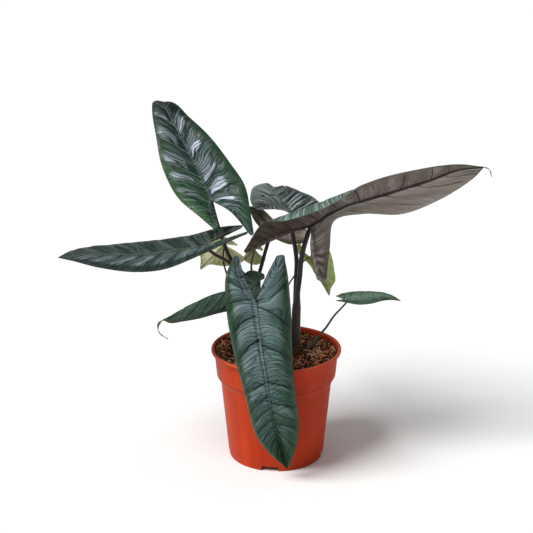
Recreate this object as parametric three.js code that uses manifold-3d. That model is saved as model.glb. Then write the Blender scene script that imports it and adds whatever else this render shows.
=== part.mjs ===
// Potted Alocasia scalprum: a plastic nursery pot filled with bark and coir mix, and an aroid
// plant with eleven sagittate leaves, each one a petiole that carries a leathery blade.
// Millimetres, +Z up. The origin is the middle of the pot's underside, on the face it stands on.

import * as THREE from 'three';
import { mergeVertices } from 'three/addons/utils/BufferGeometryUtils.js';
import Module from 'manifold-3d';

const wasm = await Module();
wasm.setup();

// Pot, with a drained channel around the middle of its base
const POT_HEIGHT = 105;
const RIM_RADIUS = 60;
const FOOT_RADIUS = 43.6;
const BAND_BOTTOM = 79.8;
const BAND_RADIUS = 55;
const SHOULDER_HEIGHT = 73;
const SHOULDER_RADIUS = 51.2;
const POT_WALL = 1.5;
const CHANNEL_HEIGHT = 5;
const CHANNEL_START = 19;
const POT_FACETS = 40;
const NOTCH_COUNT = 4;
const NOTCH_WIDTH = 15.5;
const NOTCH_HEIGHT = 4.2;
const NOTCH_ANGLE = -97.5;
const DRAIN_COUNT = 8;
const DRAIN_RADIUS = 4.5;
const DRAIN_RING = 31;

// Soil and what grows in it
const SOIL_GAP = 0.45;
const SOIL_TOP = 100.5;
const SOIL_ROUGHNESS = 1.3;
const SOIL_RINGS = [46, 38, 30, 22, 14, 6];
const CROWN = [14, 0];
const CROWN_TOP = 73.5;
const CROWN_RADIUS = 19.5;
const CROWN_DEPTH = 24;
const ROOT_COUNT = 6;
const ROOT_RADIUS = 1.6;
const ROOT_REACH = 36;

// Leaves
const BLADE_THICKNESS = 0.8;
const RIB_SHARE = 0.6;
const QUILT_HEIGHT = 0.5;
const TIP_HALF_WIDTH = 0.6;
const LOBE_ROUNDING = 0.3;
const STUB_SHARE = 4.2;
const SHEATH = [0, 0.45];
const JOINT_GAP = 0.45;
const FOOT_GAP = 0.3;
const ACROSS = [0, 0.14, 0.45, 0.77, 1];

// Finishes: colour, roughness, metalness
const TERRACOTTA = { color: 0xc04a2a, roughness: 0.45, metalness: 0 };
const COIR = { color: 0x5b3e2f, roughness: 0.95, metalness: 0 };
const CORM = { color: 0x6d4a32, roughness: 0.8, metalness: 0 };
const DARK_LEAF = { color: 0x33514a, roughness: 0.42, metalness: 0 };
const PALE_LEAF = { color: 0x93a26a, roughness: 0.55, metalness: 0 };
const DARK_STEM = { color: 0x2a2023, roughness: 0.4, metalness: 0 };
const OLIVE_STEM = { color: 0x6a6140, roughness: 0.5, metalness: 0 };

// Each blade is given by control points. The midrib runs from the petiole to the tip. Each half has
// two sinus points on the inner edge of its rear lobe, from the lobe's end towards the petiole, and
// margin points on its outer edge, from the lobe's end to the last one before the tip: one margin
// point stands across from each sinus and midrib point. Left and right are as seen from above, facing
// the tip. Arch is how far the half bulges upwards from its rear to its front end, and crest pushes
// that bulge out towards the margin. A stem has its foot on the soil, the points it passes, its
// radius at the foot and at the top, and the shares of its length between which its sheath ends. Two
// leaves end in a withered thread, with its own points and radii. Rows is the number of mesh rows to
// each control point.
const LEAVES = [
  {
    name: 'upright',
    finish: DARK_LEAF,
    rows: 3,
    sides: 8,
    steps: 18,
    midrib: [[-58, -5, 246], [-68, 6, 266], [-81, 22, 287], [-96, 42, 311],
      [-105, 62, 322], [-108, 100, 289]],
    left: {
      sinus: [[-51, -27, 228], [-54, -15, 236]],
      margin: [[-55, -27, 226], [-68, -22, 236], [-88, -8, 250], [-102, 5, 275], [-108, 22, 297],
        [-113, 45, 314], [-114, 66, 320]],
      arch: [3, 2],
      crest: 2,
    },
    right: {
      sinus: [[-23, -29, 221], [-40, -16, 238]],
      margin: [[-20, -29, 223], [-23, -20, 240], [-28, -7, 260], [-41, 6, 277], [-60, 22, 298],
        [-80, 42, 312], [-93, 64, 318]],
      arch: [3, 2],
      crest: 2,
    },
    stem: {
      foot: [11, 3],
      route: [[-8, 5, 133], [-25, 6, 167], [-41, 9, 186], [-49, 11, 205], [-53, 9, 219], [-56, 1, 234]],
      radius: [3, 1.7],
      finish: DARK_STEM,
    },
  },
  {
    name: 'left',
    finish: DARK_LEAF,
    rows: 3,
    sides: 8,
    steps: 18,
    midrib: [[-65, -15, 207], [-93, -19, 204], [-121, -24, 202], [-150, -29, 203],
      [-174, -33, 204], [-191, -38, 203]],
    left: {
      sinus: [[-26, -24, 223], [-46, -20, 215]],
      margin: [[-26, -25, 221], [-42, -33, 216], [-67, -44, 207], [-97, -52, 197], [-123, -57, 196],
        [-154, -54, 199], [-176, -46, 202]],
      arch: [3, 2],
      crest: 2,
    },
    right: {
      sinus: [[-31, -6, 221], [-49, -10, 213]],
      margin: [[-31, -4, 223], [-49, 4, 219], [-75, 12, 209], [-106, 14, 203], [-137, 8, 202],
        [-166, -4, 202], [-183, -20, 203]],
      arch: [3, 2],
      crest: 2,
    },
    stem: {
      foot: [8, -6],
      route: [[-9, -7, 136], [-26, -4, 167], [-43, -4, 188], [-55, -9, 197]],
      radius: [2.4, 1.5],
      finish: DARK_STEM,
    },
  },
  {
    name: 'front',
    finish: DARK_LEAF,
    rows: 3,
    sides: 8,
    steps: 18,
    midrib: [[-18, -59, 171], [-14, -68, 140], [-9, -74, 107], [-4, -73, 72], [3, -68, 42], [10, -62, 12]],
    left: {
      sinus: [[0, -42, 206], [-10, -50, 188]],
      margin: [[7, -40, 204], [10, -44, 188], [13, -58, 155], [14, -65, 120], [17, -68, 85],
        [20, -67, 54], [16, -65, 27]],
      arch: [7, 5],
      crest: 1.6,
    },
    right: {
      sinus: [[-33, -47, 207], [-26, -52, 186]],
      margin: [[-37, -47, 207], [-44, -50, 190], [-43, -60, 159], [-36, -68, 121], [-27, -70, 84],
        [-18, -68, 47], [-7, -65, 29]],
      arch: [7, 5],
      crest: 1.6,
    },
    stem: {
      foot: [15, -15],
      route: [[6, -24, 131], [-4, -39, 155], [-10, -48, 163]],
      radius: [2.9, 1.8],
      finish: DARK_STEM,
    },
  },
  {
    name: 'low',
    finish: DARK_LEAF,
    rows: 3,
    sides: 8,
    steps: 18,
    midrib: [[-18, -25, 174], [-39, -30, 171], [-57, -36, 168], [-73, -42, 162],
      [-88, -47, 155], [-99, -51, 150]],
    left: {
      sinus: [[0, -28, 164], [-9, -27, 169]],
      margin: [[0, -32, 161], [-13, -36, 159], [-32, -42, 157], [-51, -48, 155], [-67, -53, 152],
        [-81, -55, 150], [-93, -54, 148]],
      arch: [3, 2],
      crest: 1.5,
    },
    right: {
      sinus: [[-11, -12, 175], [-15, -18, 175]],
      margin: [[-13, -8, 179], [-24, -6, 181], [-35, -6, 171], [-52, -8, 154], [-66, -16, 151],
        [-79, -26, 149], [-92, -38, 147]],
      arch: [3, 2],
      crest: 1.5,
    },
    thread: {
      route: [[-103, -52, 147], [-104, -53, 142], [-102, -54, 138], [-95, -54, 133]],
      radius: [0.6, 1.3, 0.5, 0.5, 0.4],
    },
    stem: {
      foot: [2, -12],
      route: [[-5, -14, 131], [-12, -19, 153], [-16, -23, 166]],
      radius: [2.3, 1.5],
      finish: DARK_STEM,
    },
  },
  {
    name: 'back',
    finish: DARK_LEAF,
    rows: 3,
    sides: 8,
    steps: 18,
    midrib: [[13, 30, 226], [5, 48, 230], [0, 66, 236], [-2, 86, 235], [-5, 116, 222], [-6, 148, 203]],
    left: {
      sinus: [[-16, 18, 231], [-2, 24, 230]],
      margin: [[-21, 18, 233], [-24, 30, 237], [-23, 48, 242], [-19, 68, 241], [-16, 92, 234],
        [-14, 116, 222], [-11, 134, 211]],
      arch: [5, 4],
      crest: 1.5,
    },
    right: {
      sinus: [[31, 30, 216], [21, 30, 221]],
      margin: [[38, 32, 220], [41, 38, 228], [36, 54, 232], [23, 74, 233], [14, 98, 228],
        [7, 120, 218], [1, 136, 208]],
      arch: [5, 4],
      crest: 1.5,
    },
    stem: {
      foot: [20, 5.5],
      route: [[17.5, 10, 138], [18, 17, 164], [18.5, 21, 181], [17, 25, 194], [14.5, 28, 208]],
      radius: [3.1, 2],
      finish: DARK_STEM,
    },
  },
  {
    name: 'right',
    finish: DARK_LEAF,
    rows: 3,
    sides: 8,
    steps: 18,
    midrib: [[31, 2, 221], [59, 5, 238], [92, 6, 248], [133, 4, 262], [162, 0, 274], [182, -5, 277]],
    left: {
      sinus: [[37, 15, 166], [31, 8, 195]],
      margin: [[46, 19, 165], [49, 24, 193], [53, 28, 218], [79, 30, 224], [115, 30, 224],
        [150, 22, 241], [175, 8, 263]],
      arch: [4, 3],
      crest: 2,
    },
    right: {
      sinus: [[-25, -12, 200], [4, -4, 212]],
      margin: [[-29, -14, 202], [-11, -20, 230], [7, -25, 233], [42, -25, 245], [81, -24, 268],
        [126, -20, 279], [158, -12, 281]],
      arch: [1, 1, 8, 7, 1.5, 1, 1, 1],
      crest: 3,
    },
    thread: {
      route: [[187, -7, 275], [189, -9, 269]],
      radius: [0.6, 0.45],
    },
    stem: {
      foot: [18, -6],
      route: [[18, -5, 133], [19, -4, 157], [21, -2, 174], [22, -2, 187], [24, -2, 199], [27, -1, 210]],
      radius: [4.6, 2.2],
      sheath: [0.46, 0.58],
      finish: DARK_STEM,
    },
  },
  {
    name: 'small',
    finish: DARK_LEAF,
    rows: 2,
    sides: 6,
    steps: 18,
    midrib: [[66, -10, 155], [78, -10, 158], [92, -11, 159], [102, -12, 158], [112, -13, 155]],
    left: {
      sinus: [[56, -4, 155], [60, -8, 155]],
      margin: [[54, -2, 155], [61, 3, 156], [71, 6, 157], [83, 5, 157], [94, 1, 158], [104, -6, 158]],
      arch: [2, 1],
      crest: 1.5,
    },
    right: {
      sinus: [[54, -15, 156], [60, -12, 155]],
      margin: [[55, -18, 156], [62, -21, 156], [73, -24, 155], [85, -24, 156], [95, -22, 158],
        [104, -17, 157]],
      arch: [2, 1],
      crest: 1.5,
    },
    stem: {
      foot: [28.5, 2.5],
      route: [[34, 2, 108], [40, 0, 117], [46, -3, 126], [52, -6, 137], [59, -8, 146]],
      radius: [2.7, 0.8],
      sheath: [0.3, 0.5],
      finish: DARK_STEM,
    },
  },
  {
    name: 'pale_right',
    finish: PALE_LEAF,
    rows: 2,
    sides: 6,
    steps: 18,
    midrib: [[31, 30, 183], [36, 30, 173], [41, 28, 164], [46, 26, 156], [49, 24, 147]],
    left: {
      sinus: [[22, 34, 194], [25, 32, 188]],
      margin: [[19, 36, 192], [20, 35, 185], [25, 33, 180], [32, 31, 173], [36, 29, 166], [42, 27, 158]],
      arch: [2, 1],
      crest: 1.5,
    },
    right: {
      sinus: [[39, 38, 192], [34, 34, 188]],
      margin: [[44, 40, 193], [49, 40, 187], [52, 38, 179], [54, 36, 168], [55, 32, 159], [51, 28, 153]],
      arch: [2, 1],
      crest: 1.5,
    },
    stem: {
      foot: [20, 13.5],
      route: [[4, 15, 121], [6, 19, 144], [11, 23, 157], [17, 27, 166], [24, 30, 177]],
      radius: [1.5, 0.7],
      finish: OLIVE_STEM,
    },
  },
  {
    name: 'pale_left',
    finish: PALE_LEAF,
    rows: 2,
    sides: 6,
    steps: 18,
    midrib: [[-48, 28, 195], [-54, 27, 189], [-60, 26, 183], [-66, 24, 177], [-70, 22, 173]],
    left: {
      sinus: [[-36, 31, 193], [-41, 30, 194]],
      margin: [[-41, 33, 197], [-50, 35, 201], [-62, 36, 200], [-68, 33, 196], [-71, 29, 188],
        [-70, 26, 181]],
      arch: [2, 1],
      crest: 1.5,
    },
    right: {
      sinus: [[-30, 26, 184], [-39, 27, 190]],
      margin: [[-33, 24, 179], [-40, 23, 177], [-47, 22, 176], [-54, 21, 177], [-61, 21, 178],
        [-65, 22, 176]],
      arch: [2, 1],
      crest: 1.5,
    },
    stem: {
      foot: [3, 7.5],
      route: [[-18, 12, 127], [-37, 14, 155], [-46, 15, 172], [-49, 20, 185]],
      radius: [1.5, 0.8],
      finish: DARK_STEM,
    },
  },
  {
    name: 'new',
    finish: PALE_LEAF,
    rows: 1,
    sides: 6,
    steps: 18,
    midrib: [[-20, 30, 190], [-24, 29, 187], [-27, 28, 184], [-30, 27, 181]],
    left: {
      sinus: [[-13, 34, 187], [-17, 32, 189]],
      margin: [[-14, 35, 191], [-18, 34, 193], [-22, 33, 192], [-26, 31, 189], [-29, 29, 185]],
      arch: [1, 1],
      crest: 1.5,
    },
    right: {
      sinus: [[-11, 33, 181], [-16, 31, 185]],
      margin: [[-11, 32, 178], [-15, 30, 176], [-19, 29, 175], [-23, 28, 176], [-27, 27, 178]],
      arch: [1, 1],
      crest: 1.5,
    },
    stem: {
      foot: [7, 13],
      route: [[-17, 17, 127], [-23, 20, 153], [-23, 22, 169], [-23, 23, 179]],
      radius: [1.7, 1],
      finish: OLIVE_STEM,
    },
  },
  {
    name: 'inner',
    finish: DARK_LEAF,
    rows: 2,
    sides: 6,
    steps: 18,
    midrib: [[-4, 35, 206], [-9, 39, 211], [-14, 42, 216], [-20, 46, 221], [-26, 50, 225]],
    left: {
      sinus: [[26, 34, 200], [12, 34, 202]],
      margin: [[25, 33, 210], [12, 35, 212], [-1, 37, 215], [-6, 40, 219], [-11, 43, 223], [-17, 46, 226]],
      arch: [2, 1],
      crest: 1.5,
    },
    right: {
      sinus: [[25, 40, 202], [11, 39, 204]],
      margin: [[23, 38, 193], [12, 39, 192], [0, 41, 196], [-8, 43, 200], [-15, 45, 206], [-21, 47, 213]],
      arch: [2, 1],
      crest: 1.5,
    },
    stem: {
      foot: [11.5, 13.5],
      route: [[-4, 14, 126], [-15, 18, 149], [-16, 21, 167], [-13, 24, 179], [-10, 26, 190], [-7, 30, 199]],
      radius: [2.9, 1.7],
      finish: DARK_STEM,
    },
  },
];

// A repeatable stream of numbers from 0 to 1
function randomStream(seed) {
  let state = seed;
  return () => {
    state = (state * 1664525 + 1013904223) % 4294967296;
    return state / 4294967296;
  };
}

// A closed geometry as a solid for joining and cutting, with its faces pointing out
function solid(geometry) {
  const bare = geometry.clone();
  bare.deleteAttribute('normal');
  bare.deleteAttribute('uv');
  const merged = mergeVertices(bare, 1e-4);
  const position = merged.getAttribute('position');
  const corners = [];
  let volume = 0;
  const [a, b, c] = [new THREE.Vector3(), new THREE.Vector3(), new THREE.Vector3()];
  for (let i = 0; i < merged.index.count; i += 3) {
    const face = [merged.index.getX(i), merged.index.getX(i + 1), merged.index.getX(i + 2)];
    if (face[0] === face[1] || face[1] === face[2] || face[2] === face[0]) continue;
    corners.push(face);
    a.fromBufferAttribute(position, face[0]);
    b.fromBufferAttribute(position, face[1]);
    c.fromBufferAttribute(position, face[2]);
    volume += a.dot(b.cross(c));
  }
  const faces = volume < 0 ? corners.map((face) => face.reverse()) : corners;
  const mesh = new wasm.Mesh({
    numProp: 3,
    vertProperties: new Float32Array(position.array),
    triVerts: new Uint32Array(faces.flat()),
  });
  return new wasm.Manifold(mesh);
}

function geometryOf(manifold) {
  const mesh = manifold.getMesh();
  const geometry = new THREE.BufferGeometry();
  geometry.setAttribute('position', new THREE.BufferAttribute(mesh.vertProperties, 3));
  geometry.setIndex(new THREE.BufferAttribute(mesh.triVerts, 1));
  return geometry;
}

function piece(name, manifold, finish) {
  const geometry = geometryOf(manifold);
  geometry.computeVertexNormals();
  const mesh = new THREE.Mesh(geometry, new THREE.MeshStandardMaterial(finish));
  mesh.name = name;
  return mesh;
}

// A solid of revolution about the vertical axis, from (radius, height) pairs
function turned(profile, facets) {
  const points = profile.map(([radius, height]) => new THREE.Vector2(radius, height));
  return new THREE.LatheGeometry(points, facets).rotateX(Math.PI / 2);
}

// A round tube along a curve whose radius changes from end to end
function tube(curve, radiusAt, sides, steps) {
  const outline = [];
  for (let side = 0; side < sides; side += 1) {
    const angle = (2 * Math.PI * side) / sides;
    outline.push(new THREE.Vector2(Math.cos(angle), Math.sin(angle)));
  }
  const geometry = new THREE.ExtrudeGeometry(new THREE.Shape(outline), { steps, extrudePath: curve });
  const stations = curve.getSpacedPoints(steps);
  const position = geometry.getAttribute('position');
  const corner = new THREE.Vector3();
  for (let i = 0; i < position.count; i += 1) {
    corner.fromBufferAttribute(position, i);
    const gaps = stations.map((station) => station.distanceTo(corner));
    const nearest = gaps.indexOf(Math.min(...gaps));
    corner.sub(stations[nearest]).multiplyScalar(radiusAt(nearest / steps)).add(stations[nearest]);
    position.setXYZ(i, corner.x, corner.y, corner.z);
  }
  return geometry;
}

function curveThrough(points) {
  return new THREE.CatmullRomCurve3(points.map((point) => new THREE.Vector3(...point)));
}

// The part of a curve between two shares of its length, as a curve of its own
function stretch(curve, from, to, count) {
  const points = [];
  for (let i = 0; i <= count; i += 1) {
    points.push(curve.getPointAt(from + ((to - from) * i) / count));
  }
  return new THREE.CatmullRomCurve3(points);
}

function potSolid() {
  const wall = turned([
    [0, 0],
    [CHANNEL_START, 0],
    [CHANNEL_START + 2, CHANNEL_HEIGHT],
    [FOOT_RADIUS - POT_WALL, CHANNEL_HEIGHT],
    [FOOT_RADIUS - POT_WALL, 0],
    [FOOT_RADIUS, 0],
    [FOOT_RADIUS + 0.4, CHANNEL_HEIGHT - 0.2],
    [FOOT_RADIUS + 0.9, CHANNEL_HEIGHT + 0.6],
    [SHOULDER_RADIUS, SHOULDER_HEIGHT],
    [BAND_RADIUS, BAND_BOTTOM],
    [RIM_RADIUS - 3, POT_HEIGHT - 3.4],
    [RIM_RADIUS - 0.6, POT_HEIGHT - 3],
    [RIM_RADIUS, POT_HEIGHT - 2.2],
    [RIM_RADIUS, POT_HEIGHT - 0.8],
    [RIM_RADIUS - 0.8, POT_HEIGHT],
    [RIM_RADIUS - 2.4, POT_HEIGHT],
    [RIM_RADIUS - 3.4, POT_HEIGHT - 1.6],
    [RIM_RADIUS - 3 - POT_WALL, POT_HEIGHT - 4],
    [BAND_RADIUS - POT_WALL, BAND_BOTTOM + 0.8],
    [SHOULDER_RADIUS - POT_WALL, SHOULDER_HEIGHT + 0.8],
    [FOOT_RADIUS - 0.7, CHANNEL_HEIGHT + POT_WALL],
    [CHANNEL_START + 1, CHANNEL_HEIGHT + POT_WALL],
    [CHANNEL_START - 1, POT_WALL],
    [0, POT_WALL],
  ], POT_FACETS);
  let pot = solid(wall);
  for (let i = 0; i < NOTCH_COUNT; i += 1) {
    const notch = new THREE.BoxGeometry(NOTCH_WIDTH, 14, NOTCH_HEIGHT + 1);
    notch.translate(0, -FOOT_RADIUS, NOTCH_HEIGHT / 2 - 0.5);
    notch.rotateZ(THREE.MathUtils.degToRad(NOTCH_ANGLE + 90 + (360 * i) / NOTCH_COUNT));
    pot = pot.subtract(solid(notch));
  }
  for (let i = 0; i < DRAIN_COUNT; i += 1) {
    const angle = (2 * Math.PI * i) / DRAIN_COUNT;
    const drain = new THREE.CylinderGeometry(DRAIN_RADIUS, DRAIN_RADIUS, 6, 12);
    drain.rotateX(Math.PI / 2);
    drain.translate(DRAIN_RING * Math.cos(angle), DRAIN_RING * Math.sin(angle), CHANNEL_HEIGHT + 1);
    pot = pot.subtract(solid(drain));
  }
  return pot;
}

// The crown with its roots, grown by a clearance where it is to be cut out of the soil
function crownSolid(clearance) {
  const bottom = CROWN_TOP - CROWN_DEPTH;
  const bulb = turned([
    [0, bottom - clearance],
    [CROWN_RADIUS * 0.5 + clearance, bottom + 2 - clearance],
    [CROWN_RADIUS * 0.85 + clearance, bottom + 9],
    [CROWN_RADIUS + clearance, bottom + 18],
    [CROWN_RADIUS + clearance, CROWN_TOP + clearance],
    [0, CROWN_TOP + clearance],
  ], 16).translate(...CROWN, 0);
  let crown = solid(bulb);
  const random = randomStream(7);
  for (let i = 0; i < ROOT_COUNT; i += 1) {
    const angle = (2 * Math.PI * (i + 0.6 * random())) / ROOT_COUNT;
    const out = [Math.cos(angle), Math.sin(angle)];
    const depth = 12 + 10 * random();
    const reach = ROOT_REACH * (0.8 + 0.2 * random());
    const root = curveThrough([
      [CROWN[0] + 6 * out[0], CROWN[1] + 6 * out[1], bottom + 9],
      [CROWN[0] * 0.7 + 20 * out[0], CROWN[1] + 20 * out[1], bottom + 1],
      [CROWN[0] * 0.3 + 31 * out[0], CROWN[1] + 31 * out[1], bottom - 12],
      [reach * out[0], reach * out[1], depth],
    ]);
    const path = stretch(root, 0, clearance > 0 ? 1 : 0.985, 6);
    crown = crown.add(solid(tube(path, () => ROOT_RADIUS + 1.5 * clearance, 5, 6)));
  }
  return crown;
}

// A number that changes evenly from each value of a list to the next, at a share of the list's length
function graded(values, share) {
  const place = share * (values.length - 1);
  const lower = Math.min(Math.floor(place), values.length - 2);
  return THREE.MathUtils.lerp(values[lower], values[lower + 1], place - lower);
}

// How much of the petiole's top is one with the blade
function stubLength(leaf) {
  return STUB_SHARE * leaf.stem.radius[1];
}

// The whole line of a petiole, from the crown up through the soil to the blade
function stemLine(leaf) {
  const [x, y] = leaf.stem.foot;
  return curveThrough([
    [x, y, CROWN_TOP + FOOT_GAP],
    [x, y, CROWN_TOP + 13],
    [x, y, SOIL_TOP + 1],
    ...leaf.stem.route,
    leaf.midrib[0],
  ]);
}

// A sheathing petiole is widest at its foot and thins where its sheath ends
function stemRadius(leaf, share) {
  const [foot, top] = leaf.stem.radius;
  const sheath = 1 - THREE.MathUtils.smoothstep(share, ...(leaf.stem.sheath ?? SHEATH));
  return top + (foot - top) * (0.35 * (1 - share) + 0.65 * sheath);
}

// A petiole, grown by a clearance where it is to be cut out of the soil
function stemSolid(leaf, clearance) {
  const line = stemLine(leaf);
  const end = 1 - (stubLength(leaf) + JOINT_GAP) / line.getLength();
  const radiusAt = (share) => stemRadius(leaf, share * end) + clearance;
  return solid(tube(stretch(line, 0, end, leaf.steps), radiusAt, leaf.sides, leaf.steps));
}

function soilSolid() {
  const random = randomStream(23);
  const floor = CHANNEL_HEIGHT + POT_WALL + SOIL_GAP;
  const edge = RIM_RADIUS - 3 - POT_WALL - SOIL_GAP - 0.6;
  const body = turned([
    [0, POT_WALL + SOIL_GAP],
    [CHANNEL_START - 1 - SOIL_GAP, POT_WALL + SOIL_GAP],
    [CHANNEL_START + 1 - SOIL_GAP, floor],
    [FOOT_RADIUS - 0.7 - SOIL_GAP, floor],
    [SHOULDER_RADIUS - POT_WALL - SOIL_GAP, SHOULDER_HEIGHT + 0.8],
    [BAND_RADIUS - POT_WALL - SOIL_GAP, BAND_BOTTOM + 0.8],
    [edge, SOIL_TOP - 4],
    [edge - 2.5, SOIL_TOP - 1],
    ...SOIL_RINGS.map((radius) => [radius, SOIL_TOP]),
    [0, SOIL_TOP],
  ], POT_FACETS);
  const position = body.getAttribute('position');
  const bumps = new Map();
  for (let i = 0; i < position.count; i += 1) {
    if (Math.abs(position.getZ(i) - SOIL_TOP) > 0.01) continue;
    const x = position.getX(i);
    const y = position.getY(i);
    const key = Math.hypot(x, y) < 0.01 ? 'centre' : `${Math.round(x * 50)} ${Math.round(y * 50)}`;
    if (!bumps.has(key)) bumps.set(key, SOIL_ROUGHNESS * (2 * random() - 1));
    position.setZ(i, SOIL_TOP + bumps.get(key));
  }
  let soil = solid(body).subtract(crownSolid(SOIL_GAP));
  for (const leaf of LEAVES) {
    soil = soil.subtract(stemSolid(leaf, SOIL_GAP));
  }
  return soil;
}

// The flat half blade: a point for any station along it and share across it, before it bulges
function halfBlade(leaf, side) {
  const half = leaf[side];
  const rear = half.sinus.length;
  const last = rear + leaf.midrib.length - 1;
  const sinus = curveThrough([...half.sinus, leaf.midrib[0]]);
  const midrib = curveThrough(leaf.midrib);
  const tip = new THREE.Vector3(...leaf.midrib.at(-1));
  const before = new THREE.Vector3(...leaf.midrib.at(-2));
  const aside = new THREE.Vector3(...half.margin.at(-1)).sub(before).setLength(TIP_HALF_WIDTH);
  const margin = curveThrough([...half.margin, tip.clone().add(aside).toArray()]);
  const width = sinus.getPoint(0).distanceTo(margin.getPoint(0));
  const heel = sinus.getPoint(0).sub(sinus.getPoint(1 / rear)).setLength(LOBE_ROUNDING * width);
  return {
    last,
    at(station, share) {
      const held = THREE.MathUtils.clamp(station, 0, last);
      const inner = held < rear
        ? sinus.getPoint(held / rear)
        : midrib.getPoint((held - rear) / (leaf.midrib.length - 1));
      const rounding = 4 * share * (1 - share) * Math.max(0, 1 - held) ** 2;
      return inner.lerp(margin.getPoint(held / last), share).addScaledVector(heel, rounding);
    },
  };
}

// The way that the upper face of a half blade looks at a place on it
function upwards(flat, side, station, share) {
  const along = flat.at(station + 0.3, share).sub(flat.at(station - 0.3, share));
  const across = flat.at(station, 1).sub(flat.at(station, 0));
  const up = along.cross(across).normalize();
  return side === 'left' ? up : up.negate();
}

// The points of one half blade, bulging between rib and margin and sunk along its side veins
function halfSheet(leaf, side) {
  const flat = halfBlade(leaf, side);
  const { arch, crest } = leaf[side];
  const peak = (crest / (crest + 1)) ** crest / (crest + 1);
  const widths = [];
  const count = flat.last * leaf.rows;
  for (let row = 0; row <= count; row += 1) {
    const station = row / leaf.rows;
    widths.push(flat.at(station, 1).distanceTo(flat.at(station, 0)));
  }
  const full = 0.6 * Math.max(...widths);
  return widths.map((width, row) => {
    const station = row / leaf.rows;
    const narrow = Math.min(1, width / full);
    const bulge = narrow * graded(arch, station / flat.last);
    const vein = row % leaf.rows === 0 ? -1 : 0.5;
    return ACROSS.map((share) => {
      const swell = (bulge * share ** crest * (1 - share)) / peak;
      const quilt = QUILT_HEIGHT * narrow * vein * Math.sin(Math.PI * share);
      return flat.at(station, share).addScaledVector(upwards(flat, side, station, share), swell + quilt);
    });
  });
}

// Both halves as one sheet of points and upward triangles, joined along the midrib
function bladeSheet(leaf) {
  const points = [];
  const ribs = [];
  const faces = [];
  const rear = leaf.left.sinus.length * leaf.rows;
  const spine = new Map();
  for (const side of ['left', 'right']) {
    const rows = halfSheet(leaf, side).map((row, i) => row.map((point, j) => {
      const onMidrib = j === 0 && i >= rear;
      if (onMidrib && spine.has(i)) return spine.get(i);
      if (onMidrib) spine.set(i, points.length);
      points.push(point);
      const along = (i - rear) / (leaf.rows * (leaf.midrib.length - 1));
      ribs.push(onMidrib ? RIB_SHARE * leaf.stem.radius[1] * (1 - 0.7 * along) : 0);
      return points.length - 1;
    }));
    for (let i = 0; i + 1 < rows.length; i += 1) {
      for (let j = 0; j + 1 < ACROSS.length; j += 1) {
        const [a, b, c, d] = [rows[i][j], rows[i + 1][j], rows[i + 1][j + 1], rows[i][j + 1]];
        const pair = [[a, b, c], [a, c, d]];
        faces.push(...(side === 'left' ? pair : pair.map((face) => face.reverse())));
      }
    }
  }
  return { points, ribs, faces };
}

// The thread that a leaf's tip runs out into, rooted a little way back in the blade
function threadSolid(leaf) {
  const { route, radius } = leaf.thread;
  const tip = new THREE.Vector3(...leaf.midrib.at(-1));
  const root = new THREE.Vector3(...leaf.midrib.at(-2)).lerp(tip, 0.85);
  const line = curveThrough([root.toArray(), tip.toArray(), ...route]);
  return solid(tube(line, (share) => graded(radius, share), 6, 8));
}

// A sheet thickened to a closed blade, with its rib standing out below
function bladeSolid(leaf) {
  const { points, ribs, faces } = bladeSheet(leaf);
  const normals = points.map(() => new THREE.Vector3());
  for (const [a, b, c] of faces) {
    const edge = points[c].clone().sub(points[a]);
    const normal = points[b].clone().sub(points[a]).cross(edge);
    for (const corner of [a, b, c]) normals[corner].add(normal);
  }
  const corners = [];
  points.forEach((point, i) => {
    corners.push(...point.clone().addScaledVector(normals[i].normalize(), BLADE_THICKNESS / 2).toArray());
  });
  points.forEach((point, i) => {
    corners.push(...point.clone().addScaledVector(normals[i], -BLADE_THICKNESS / 2 - ribs[i]).toArray());
  });
  const under = points.length;
  const index = [];
  const edges = new Set(faces.flatMap(([a, b, c]) => [`${a} ${b}`, `${b} ${c}`, `${c} ${a}`]));
  for (const [a, b, c] of faces) {
    index.push(a, b, c, c + under, b + under, a + under);
    for (const [from, to] of [[a, b], [b, c], [c, a]]) {
      if (edges.has(`${to} ${from}`)) continue;
      index.push(from, from + under, to, to, from + under, to + under);
    }
  }
  const geometry = new THREE.BufferGeometry();
  geometry.setAttribute('position', new THREE.Float32BufferAttribute(corners, 3));
  geometry.setIndex(index);
  const line = stemLine(leaf);
  const from = 1 - stubLength(leaf) / line.getLength();
  const stub = tube(stretch(line, from, 1, 2), () => stemRadius(leaf, from), leaf.sides, 2);
  const blade = solid(geometry).add(solid(stub));
  return leaf.thread ? blade.add(threadSolid(leaf)) : blade;
}

const plant = new THREE.Group();
plant.add(piece('pot', potSolid(), TERRACOTTA));
plant.add(piece('soil', soilSolid(), COIR));
plant.add(piece('crown', crownSolid(0), CORM));
for (const leaf of LEAVES) {
  plant.add(piece(`petiole_${leaf.name}`, stemSolid(leaf, 0), leaf.stem.finish));
  plant.add(piece(`blade_${leaf.name}`, bladeSolid(leaf), leaf.finish));
}

export default plant;
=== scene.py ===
"""A young Alocasia scalprum in a plastic nursery pot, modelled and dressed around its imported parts.

The leaf table is in millimetres, as in the part's source. Every mesh is in metres, +Z up, with the
origin in the middle of the pot's underside.
"""

import logging
import math
from dataclasses import dataclass, field, replace
from enum import Enum

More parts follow.
